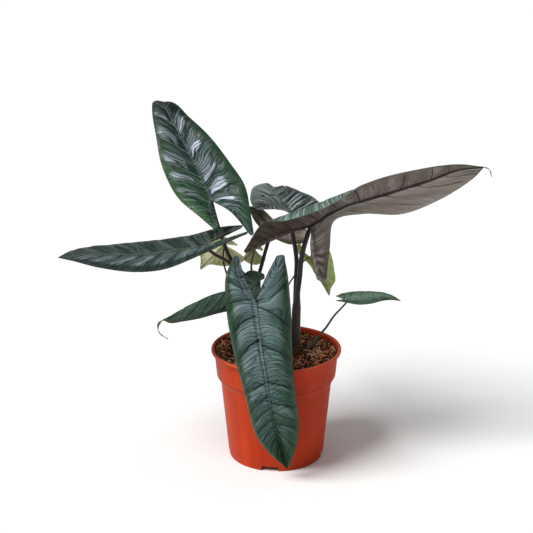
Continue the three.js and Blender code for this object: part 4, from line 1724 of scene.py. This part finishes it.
    def _fibre(self, rng: np.random.Generator, x: float, y: float, loose: bool) -> Shell:
        """Lay one fibre along a wandering line that arches off the bed.

        Args:
            rng: The source of the draws.
            x: The fibre's place to the right.
            y: Its place to the back.
            loose: Whether it is one of the thicker and paler ones of the tangle.

        Returns:
            The fibre with its tone.
        """
        steps, long = self.fibre_steps, rng.uniform(4, 15)
        heading = rng.uniform(0, math.tau) + np.cumsum(rng.normal(0, 0.28, steps) + rng.normal(0, 0.1))
        path = np.cumsum(np.stack([np.cos(heading), np.sin(heading)], -1) * long / steps, axis=0)
        flat = path - path.mean(0) + [x, y]
        flat = flat * np.minimum(1, self.fibre_limit / np.maximum(np.hypot(*flat.T), 1e-6))[:, None]
        arc = np.sin(np.linspace(0, math.pi, steps)) * rng.uniform(0, 2.0)
        level = self.level(flat[:, 0], flat[:, 1]) + 0.9 + arc + rng.uniform(-0.2, 0.6)
        thin = 1 - 0.6 * np.linspace(-1, 1, steps) ** 4
        radii = rng.uniform(0.1, 0.22) * (1.5 if loose else 1) * thin
        rings, _ = tube_rings(np.column_stack([flat, level]), radii, 4)
        tone = np.clip(rng.normal(1.15 if loose else 0.9, 0.15), 0.3, 1.5)
        return tube_shell(rings, {"tone": tone})


# The eleven leaves

UNDER_PURPLE = BladeFace(
    centre=seen("655349"), middle=seen("786A61"), margin=seen("6C6255"), vein=seen("2B1E1A"),
    rib=seen("33222A"), second=seen("B9ADA2"), tip=seen("8F8C7C"), light=seen("B0A398"),
    edge=seen("2F3A2E"), vein_width=0.032, vein_show=0.85, furrow_shade_show=0.1, crest_highlight_show=0.35,
    trough_shade_show=0.3, crease_shade_show=0.25, strip_show=0.2, rough=0.5)
FRONT_SKIN = BladeSkin("front", BladeFace(
    centre=seen("819BA0"), middle=seen("5F7D77"), margin=seen("1E4522"), vein=seen("10211F"),
    rib=seen("809394"), second=seen("2F5B3C"), tip=seen("1E4A12"), light=seen("8FA5A8"),
    silver=seen("A4BABA", 0.8), crease_shade_show=0.65, strip_show=0.45, lit_tip=0.15, tip_start=0.76,
    rib_tip=0.12), UNDER_PURPLE, gloss=0.15, steady=0.55)
LOW_SKIN = BladeSkin("low", BladeFace(
    centre=seen("55705F"), middle=seen("3F6049"), margin=seen("1D3A22"), vein=seen("12231B"),
    rib=seen("50685C"), second=seen("2F6428"), tip=seen("234022"), light=seen("93AC9C")), UNDER_PURPLE)
UPRIGHT_SKIN = BladeSkin("upright", BladeFace(
    centre=seen("1F443F"), middle=seen("2F564A"), margin=seen("274A30"), vein=seen("0C181C"),
    rib=seen("63797A"), second=seen("3A7030"), tip=seen("0B2117"), light=seen("93B0A8"),
    silver=seen("CBD5E4", 1.0), strip_show=0.45, crease_shade_show=1.0, hair_show=0.25, tip_start=0.6),
    UNDER_PURPLE, strip=2.5, steady=0.65)
LEVEL_SKIN = BladeSkin("level", BladeFace(
    centre=seen("44675B"), middle=seen("3A5C51"), margin=seen("1D352D"), vein=seen("12231F"),
    rib=seen("9C9180"), second=seen("1C3029"), tip=seen("2B4A3C"), light=seen("9DB5AE"),
    strip_show=0.4, crease_shade_show=0.65), UNDER_PURPLE, strip=2.2, steady=0.5)
BACK_SKIN = BladeSkin("back", BladeFace(
    centre=seen("B0C2BB"), middle=seen("ACC0B7"), margin=seen("9AADA4"), vein=seen("22333A"),
    rib=seen("4A5958"), second=seen("22383A"), tip=seen("586F69"), light=seen("EEF6F1"),
    crest_highlight_show=0.75, trough_shade_show=0.3, strip_show=0.5, crease_shade_show=1.0), UNDER_PURPLE,
    strip=2.8, steady=0.6)
INNER_FACE = BladeFace(
    centre=seen("C4B8A6", 1.35), middle=seen("BDB2A0", 1.35), margin=seen("8C8668", 0.95),
    vein=seen("5A5045"), rib=seen("453931"), second=seen("6E6548"), tip=seen("4E4D3A"),
    light=seen("C4B9A8", 0.9), tip_start=0.55, vein_show=0.1, furrow_shade_show=0.0, crease_shade_show=0.06,
    strip_show=0.1, hair_show=0.05, rough=0.5)
INNER_SKIN = BladeSkin("inner", INNER_FACE, INNER_FACE)
RIGHT_SKIN = BladeSkin("right", BladeFace(
    centre=seen("2B5046"), middle=seen("2B5548"), margin=seen("2A5044"), vein=seen("142826"),
    rib=seen("40544F"), second=seen("3C5E52"), tip=seen("4A665A"), light=seen("B8CEC3"),
    silver=seen("C4D6CE", 0.8), edge=seen("7FA392"), crease_shade_show=0.8, strip_show=0.4, lit_margin=2.0),
    replace(UNDER_PURPLE, centre=seen("6A5243"), middle=seen("755F50"), margin=seen("6A5B4B"),
            rib=seen("2A1E20"), second=seen("D0C4B8"), light=seen("EAE0D6"), crest_highlight_show=0.8,
            trough_shade_show=0.33, strip_show=0.3, rib_show=0.95), strip=2.4, steady=0.6, margin_show=0.85)
SMALL_SKIN = BladeSkin("small", BladeFace(
    centre=seen("7FA08C"), middle=seen("5C8068"), margin=seen("304C3A"), vein=seen("2C4637"),
    rib=seen("6F6A50"), second=seen("4C6F5A"), tip=seen("5E5440"), light=seen("A6C6B0"),
    vein_show=0.5, furrow_shade_show=0.15, crease_shade_show=0.25), UNDER_PURPLE, strip=1.6, relief=0.2)
PALE_FACE = BladeFace(
    centre=seen("CFCFB0", 0.8), middle=seen("C6C7A4", 0.8), margin=seen("ACB286", 0.8),
    vein=seen("8F9470", 0.8), rib=seen("8C9070"), second=seen("86A054", 0.7), tip=seen("7E8C58"),
    light=seen("D8DCBC", 0.8), edge=seen("8C9A5C"), vein_show=0.35, furrow_shade_show=0.0,
    crease_shade_show=0.12, rough=0.5)
PALE_SKIN = BladeSkin("pale", PALE_FACE, PALE_FACE, strip=1.6, relief=0.15, glow=0.3)

STALKS = {
    StalkTone.DARK: StalkSkin(StalkTone.DARK, seen("1E1518"), seen("3A2C32")),
    StalkTone.REDDISH: StalkSkin(StalkTone.REDDISH, seen("4F3836"), seen("6E524B")),
    StalkTone.GREYISH: StalkSkin(StalkTone.GREYISH, seen("4A3F38"), seen("6A6055"), foot=seen("92907C"),
                                 sheath=seen("6F6B58")),
    StalkTone.OLIVE: StalkSkin(StalkTone.OLIVE, seen("6A653F"), seen("878056")),
}

PLAIN_VEINS = ((2.1, 2.2), (2.9, 3.1), (3.7, 3.9), (4.6, 4.9))
LOW_VEINS = ((2.1, 2.2), (2.7, 2.9), (3.3, 3.6), (3.9, 4.2), (4.6, 4.9), (5.4, 5.7))
BACK_VEINS = ((2.1, 2.0), (2.8, 2.9), (3.6, 3.7), (4.3, 4.5), (5.0, 5.2), (5.7, 5.9))

LEAVES = (
    Leaf(
        "upright", UPRIGHT_SKIN, StalkTone.DARK,
        ((-58, -5, 246), (-68, 6, 266), (-81, 22, 287), (-96, 42, 311), (-105, 62, 322), (-108, 100, 289)),
        Half(((-51, -27, 228), (-54, -15, 236)),
             ((-55, -27, 226), (-68, -22, 236), (-88, -8, 250), (-102, 5, 275), (-108, 22, 297),
              (-113, 45, 314), (-114, 66, 320)),
             (3, 2), 2, ((1.4, 1.5), (1.92, 2.1), (2.5, 2.55), (2.92, 3.12), (3.8, 4.0), (4.69, 4.88),
                         (5.4, 5.8)),
             bow=-0.08, silver=(0.25, 0.95, 0.75), wedge=0.6, shining=(2.2, 5.2), tint=(1.1, -0.7),
             pale=1.0),
        Half(((-23, -29, 221), (-40, -16, 238)),
             ((-20, -29, 223), (-23, -20, 240), (-28, -7, 260), (-41, 6, 277), (-60, 22, 298),
              (-80, 42, 312), (-93, 64, 318)),
             (3, 2), 2, ((1.4, -0.1), (1.85, 0.47), (2.12, 2.16), (2.64, 3.23), (3.6, 3.92), (4.33, 4.83),
                         (5.07, 5.9)),
             bow=-0.1, silver=(0.03, 0.66, 1.0), shining=(1.4, 5.1), tint=(0.3, -0.4)),
        (11, 3), ((-8, 5, 133), (-25, 6, 167), (-41, 9, 186), (-49, 11, 205), (-53, 9, 219), (-56, 1, 234)),
        (3, 1.7), seed=3),
    Leaf(
        "left", LEVEL_SKIN, StalkTone.REDDISH,
        ((-65, -15, 207), (-93, -19, 204), (-121, -24, 202), (-150, -29, 203), (-174, -33, 204),
         (-191, -38, 203)),
        Half(((-26, -24, 223), (-46, -20, 215)),
             ((-26, -25, 221), (-42, -33, 216), (-67, -44, 207), (-97, -52, 197), (-123, -57, 196),
              (-154, -54, 199), (-176, -46, 202)),
             (3, 2), 2, ((2.1, 2.2), (2.7, 3.1), (3.3, 3.9), (3.9, 4.6), (4.5, 5.2), (5.1, 5.8), (5.8, 6.4)),
             bow=0.0, silver=(0.15, 0.85, 0.6), wedge=0.95, fine=1.5, fold_light_and_shade=0.6),
        Half(((-31, -6, 221), (-49, -10, 213)),
             ((-31, -4, 223), (-49, 4, 219), (-75, 12, 209), (-106, 14, 203), (-137, 8, 202),
              (-166, -4, 202), (-183, -20, 203)),
             (3, 2), 2, ((2.1, 2.2), (2.8, 3.1), (3.5, 3.9), (4.2, 4.6), (4.9, 5.3), (5.6, 6.0)),
             bow=0.0, tint=(0.9, 0.35), fold_light_and_shade=0.2),
        (8, -6), ((-9, -7, 136), (-26, -4, 167), (-43, -4, 188), (-55, -9, 197)), (2.4, 1.5), seed=5),
    Leaf(
        "front", FRONT_SKIN, StalkTone.DARK,
        ((-18, -59, 171), (-14, -68, 140), (-9, -74, 107), (-4, -73, 72), (3, -68, 42), (10, -62, 12)),
        Half(((0, -42, 206), (-10, -50, 188)),
             ((7, -40, 204), (10, -44, 188), (13, -58, 155), (14, -65, 120), (17, -68, 85),
              (20, -67, 54), (16, -65, 27)),
             (7, 5), 1.6, ((1.5, 0.0), (1.97, 0.57), (2.16, 2.3), (3.21, 3.04), (4.19, 3.77), (4.75, 4.31),
                           (5.03, 4.75), (5.35, 4.95), (5.65, 5.7), (6.1, 6.4)),
             bow=0.07, silver=(0.15, 0.7, 0.25), shining=(1.9, 3.5), tint=(-0.1, 1.1), dome=5.0),
        Half(((-33, -47, 207), (-26, -52, 186)),
             ((-37, -47, 207), (-44, -50, 190), (-43, -60, 159), (-36, -68, 121), (-27, -70, 84),
              (-18, -68, 47), (-7, -65, 29)),
             (7, 5), 1.6, ((1.4, 1.1), (1.9, 1.81), (2.42, 2.55), (3.06, 3.14), (4.21, 3.94), (4.54, 4.45),
                           (4.89, 4.7), (5.23, 5.0), (5.5, 5.4), (5.8, 6.2)),
             bow=0.1, silver=(0.12, 0.8, 0.5), wedge=0.9, shining=(-0.2, 4.5), tint=(-1.0, 0.95), dome=4.0),
        (15, -15), ((6, -24, 131), (-4, -39, 155), (-10, -48, 163)), (2.9, 1.8),
        pillow=1.2, valley=1.0, seed=7),
    Leaf(
        "low", LOW_SKIN, StalkTone.DARK,
        ((-18, -25, 174), (-39, -30, 171), (-57, -36, 168), (-73, -42, 162), (-88, -47, 155),
         (-99, -51, 150)),
        Half(((0, -28, 164), (-9, -27, 169)),
             ((0, -32, 161), (-13, -36, 159), (-32, -42, 157), (-51, -48, 155), (-67, -53, 152),
              (-81, -55, 150), (-93, -54, 148)),
             (3, 2), 1.5, LOW_VEINS, bow=0.1),
        Half(((-11, -12, 175), (-15, -18, 175)),
             ((-13, -8, 179), (-24, -6, 181), (-35, -6, 171), (-52, -8, 154), (-66, -16, 151),
              (-79, -26, 149), (-92, -38, 147)),
             (3, 2), 1.5, LOW_VEINS, bow=0.1),
        (2, -12), ((-5, -14, 131), (-12, -19, 153), (-16, -23, 166)), (2.3, 1.5), rows=24, columns=32,
        thread=((-103, -52, 147), (-104, -53, 142), (-102, -54, 138), (-95, -54, 133)),
        thread_radius=(0.6, 1.3, 0.5, 0.5, 0.4), pillow=0.6, seed=9),
    Leaf(
        "back", BACK_SKIN, StalkTone.DARK,
        ((13, 30, 226), (5, 48, 230), (0, 66, 236), (-2, 86, 235), (-5, 116, 222), (-6, 148, 203)),
        Half(((-16, 18, 231), (-2, 24, 230)),
             ((-21, 18, 233), (-24, 30, 237), (-23, 48, 242), (-19, 68, 241), (-16, 92, 234),
              (-14, 116, 222), (-11, 134, 211)),
             (5, 4), 1.5, BACK_VEINS,
             cell=(5.0, 40.0)),
        Half(((31, 30, 216), (21, 30, 221)),
             ((38, 32, 220), (41, 38, 228), (36, 54, 232), (23, 74, 233), (14, 98, 228),
              (7, 120, 218), (1, 136, 208)),
             (5, 4), 1.5, BACK_VEINS,
             cell=(5.0, 40.0), tint=(1.6, 1.2), fold_light_and_shade=0.6),
        (20, 5.5), ((17.5, 10, 138), (18, 17, 164), (18.5, 21, 181), (17, 25, 194), (14.5, 28, 208)),
        (3.1, 2), wrinkle=0.3, seed=11),
    Leaf(
        "right", RIGHT_SKIN, StalkTone.DARK,
        ((31, 2, 221), (59, 5, 238), (92, 6, 248), (133, 4, 262), (162, 0, 274), (182, -5, 277)),
        Half(((37, 15, 166), (31, 8, 195)),
             ((46, 19, 165), (49, 24, 193), (53, 28, 218), (79, 30, 224), (115, 30, 224),
              (150, 22, 241), (175, 8, 263)),
             (4, 3), 2, ((1.8, 2.4), (2.3, 3.2), (2.9, 4.0), (3.5, 4.7), (4.1, 5.3), (4.8, 5.9), (5.5, 6.4)),
             bow=0.1, tint=(0.1, 1.6), cell=(9.0, 70.0), fold=4.0),
        Half(((-25, -12, 200), (4, -4, 212)),
             ((-29, -14, 202), (-11, -20, 230), (7, -25, 233), (42, -25, 245), (81, -24, 268),
              (126, -20, 279), (158, -12, 281)),
             (1, 1, 8, 7, 1.5, 1, 1, 1), 3, ((1.5, 1.2), (1.99, 1.81), (2.29, 2.3), (2.91, 2.91),
                                             (3.46, 3.64), (4.43, 4.64), (5.1, 5.25), (5.59, 5.67)),
             bow=-0.07, silver=(0.66, 1.3, 0.2), wedge=1, shining=(1.2, 3.4), tint=(0.0, 0.35),
             cell=(16.0, 60.0), fine=3.6, fold_light_and_shade=0.3),
        (18, -6), ((18, -5, 133), (19, -4, 157), (21, -2, 174), (22, -2, 187), (24, -2, 199), (27, -1, 210)),
        (4.6, 2.2), sheath=(0.46, 0.58), thread=((187, -7, 275), (189, -9, 269)), thread_radius=(0.6, 0.45),
        seed=13, keel=2.6),
    Leaf(
        "small", SMALL_SKIN, StalkTone.GREYISH,
        ((66, -10, 155), (78, -10, 158), (92, -11, 159), (102, -12, 158), (112, -13, 155)),
        Half(((56, -4, 155), (60, -8, 155)),
             ((54, -2, 155), (61, 3, 156), (71, 6, 157), (83, 5, 157), (94, 1, 158), (104, -6, 158)),
             (2, 1), 1.5, PLAIN_VEINS),
        Half(((54, -15, 156), (60, -12, 155)),
             ((55, -18, 156), (62, -21, 156), (73, -24, 155), (85, -24, 156), (95, -22, 158),
              (104, -17, 157)),
             (2, 1), 1.5, PLAIN_VEINS),
        (28.5, 2.5), ((34, 2, 108), (40, 0, 117), (46, -3, 126), (52, -6, 137), (59, -8, 146)), (2.7, 0.8),
        sheath=(0.3, 0.5), rows=16, columns=22, pillow=0.4, wrinkle=0.06, seed=15),
    Leaf(
        "pale_right", PALE_SKIN, StalkTone.OLIVE,
        ((31, 30, 183), (36, 30, 173), (41, 28, 164), (46, 26, 156), (49, 24, 147)),
        Half(((22, 34, 194), (25, 32, 188)),
             ((19, 36, 192), (20, 35, 185), (25, 33, 180), (32, 31, 173), (36, 29, 166), (42, 27, 158)),
             (2, 1), 1.5, PLAIN_VEINS, tint=(1.0, 1.0)),
        Half(((39, 38, 192), (34, 34, 188)),
             ((44, 40, 193), (49, 40, 187), (52, 38, 179), (54, 36, 168), (55, 32, 159), (51, 28, 153)),
             (2, 1), 1.5, PLAIN_VEINS, tint=(0.4, 0.9)),
        (20, 13.5), ((4, 15, 121), (6, 19, 144), (11, 23, 157), (17, 27, 166), (24, 30, 177)), (1.5, 0.7),
        rows=16, columns=22, slot="blade_pale", pillow=0.4, wrinkle=0.05, seed=17),
    Leaf(
        "pale_left", PALE_SKIN, StalkTone.DARK,
        ((-48, 28, 195), (-54, 27, 189), (-60, 26, 183), (-66, 24, 177), (-70, 22, 173)),
        Half(((-36, 31, 193), (-41, 30, 194)),
             ((-41, 33, 197), (-50, 35, 201), (-62, 36, 200), (-68, 33, 196), (-71, 29, 188),
              (-70, 26, 181)),
             (2, 1), 1.5, PLAIN_VEINS),
        Half(((-30, 26, 184), (-39, 27, 190)),
             ((-33, 24, 179), (-40, 23, 177), (-47, 22, 176), (-54, 21, 177), (-61, 21, 178),
              (-65, 22, 176)),
             (2, 1), 1.5, PLAIN_VEINS),
        (3, 7.5), ((-18, 12, 127), (-37, 14, 155), (-46, 15, 172), (-49, 20, 185)), (1.5, 0.8),
        rows=16, columns=22, slot="blade_pale", pillow=0.4, wrinkle=0.05, seed=19),
    Leaf(
        "new", PALE_SKIN, StalkTone.OLIVE,
        ((-20, 30, 190), (-24, 29, 187), (-27, 28, 184), (-30, 27, 181)),
        Half(((-13, 34, 187), (-17, 32, 189)),
             ((-14, 35, 191), (-18, 34, 193), (-22, 33, 192), (-26, 31, 189), (-29, 29, 185)),
             (1, 1), 1.5, PLAIN_VEINS[:3]),
        Half(((-11, 33, 181), (-16, 31, 185)),
             ((-11, 32, 178), (-15, 30, 176), (-19, 29, 175), (-23, 28, 176), (-27, 27, 178)),
             (1, 1), 1.5, PLAIN_VEINS[:3]),
        (7, 13), ((-17, 17, 127), (-23, 20, 153), (-23, 22, 169), (-23, 23, 179)), (1.7, 1),
        rows=12, columns=16, slot="blade_pale", pillow=0.2, wrinkle=0.03, seed=21),
    Leaf(
        "inner", INNER_SKIN, StalkTone.DARK,
        ((-4, 35, 206), (-9, 39, 211), (-14, 42, 216), (-20, 46, 221), (-26, 50, 225)),
        Half(((26, 34, 200), (12, 34, 202)),
             ((25, 33, 210), (12, 35, 212), (-1, 37, 215), (-6, 40, 219), (-11, 43, 223), (-17, 46, 226)),
             (2, 1), 1.5, PLAIN_VEINS),
        Half(((25, 40, 202), (11, 39, 204)),
             ((23, 38, 193), (12, 39, 192), (0, 41, 196), (-8, 43, 200), (-15, 45, 206), (-21, 47, 213)),
             (2, 1), 1.5, PLAIN_VEINS),
        (11.5, 13.5), ((-4, 14, 126), (-15, 18, 149), (-16, 21, 167), (-13, 24, 179), (-10, 26, 190),
                       (-7, 30, 199)), (2.9, 1.7),
        rows=16, columns=22, pillow=0.2, wrinkle=0.05, seed=23),
)


# Studio


@dataclass
class Studio:
    """A plain pale floor, soft light from the upper left, and the camera."""

    camera_place: Point = (0.0, -1.2, 0.5712)
    pitch: float = 17.93
    yaw: float = -0.43
    lens: float = 94.1
    key_from: Point = (-0.72, -0.42, 0.95)
    key_strength: float = 3.4
    key_spread: float = 32.0
    sky: float = 0.32

    def build(self) -> None:
        """Set the camera, the lights, the sky and the floor."""
        scene = bpy.context.scene
        data = bpy.data.cameras.new("camera")
        data.lens, data.sensor_width, data.sensor_height = self.lens, 36.0, 36.0
        camera = bpy.data.objects.new("camera", data)
        camera.location = self.camera_place
        camera.rotation_euler = (math.radians(90 - self.pitch), 0, math.radians(-self.yaw))
        scene.collection.objects.link(camera)
        scene.camera = camera
        self._key()
        world = bpy.data.worlds.new("studio")
        scene.world = world
        world.use_nodes = True
        background = world.node_tree.nodes["Background"]
        background.inputs["Color"].default_value = (1, 1, 1, 1)
        background.inputs["Strength"].default_value = self.sky
        scene.view_settings.view_transform = "Standard"
        self._floor()

    def _key(self) -> None:
        """Add the main light, wide enough to be soft and far enough to be even over the floor."""
        data = bpy.data.lights.new("key", "SUN")
        data.energy, data.angle = self.key_strength, math.radians(self.key_spread)
        light = bpy.data.objects.new("key", data)
        light.location = self.key_from
        light.rotation_euler = (-Vector(self.key_from)).to_track_quat("-Z", "Y").to_euler()
        bpy.context.scene.collection.objects.link(light)

    def _floor(self) -> None:
        """Lay a wide pale sheet under the plant."""
        bpy.ops.object.select_all(action="DESELECT")
        bpy.ops.mesh.primitive_plane_add(size=60, location=(0, 0, -0.0004))
        floor = bpy.context.object
        floor.name = "floor"
        kit = NodeKit("pale_floor")
        tone = kit.noise(kit.place(), 3, 2, 0.5)
        colour = kit.mix(tone, paint("F6F6F5"), paint("FBFBFA"))
        floor.data.materials.append(kit.finish({"Base Color": colour, "Roughness": 0.75 + tone * 0.1}))


def main() -> None:
    """Build the plant piece by piece."""
    logging.basicConfig(level=logging.INFO, format="%(name)s %(message)s")
    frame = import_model()
    Studio().build()
    NurseryPot().build(PotPlastic().material())
    feet = tuple((*leaf.foot, leaf.radius[0]) for leaf in LEAVES)
    mix = PottingMix(feet=feet)
    mix.build_bed(PeatBed().material())
    mix.build_chips(BarkAndCoir().material())
    mix.build_fibres(BarkAndCoir("coir_fibre").material())
    frame["nodes"]["crown"].material_slots[0].material = CrownBark().material()
    plant = Plant({tone: skin.material() for tone, skin in STALKS.items()})
    for leaf in LEAVES:
        plant.build(leaf)


if __name__ == "__main__":
    main()
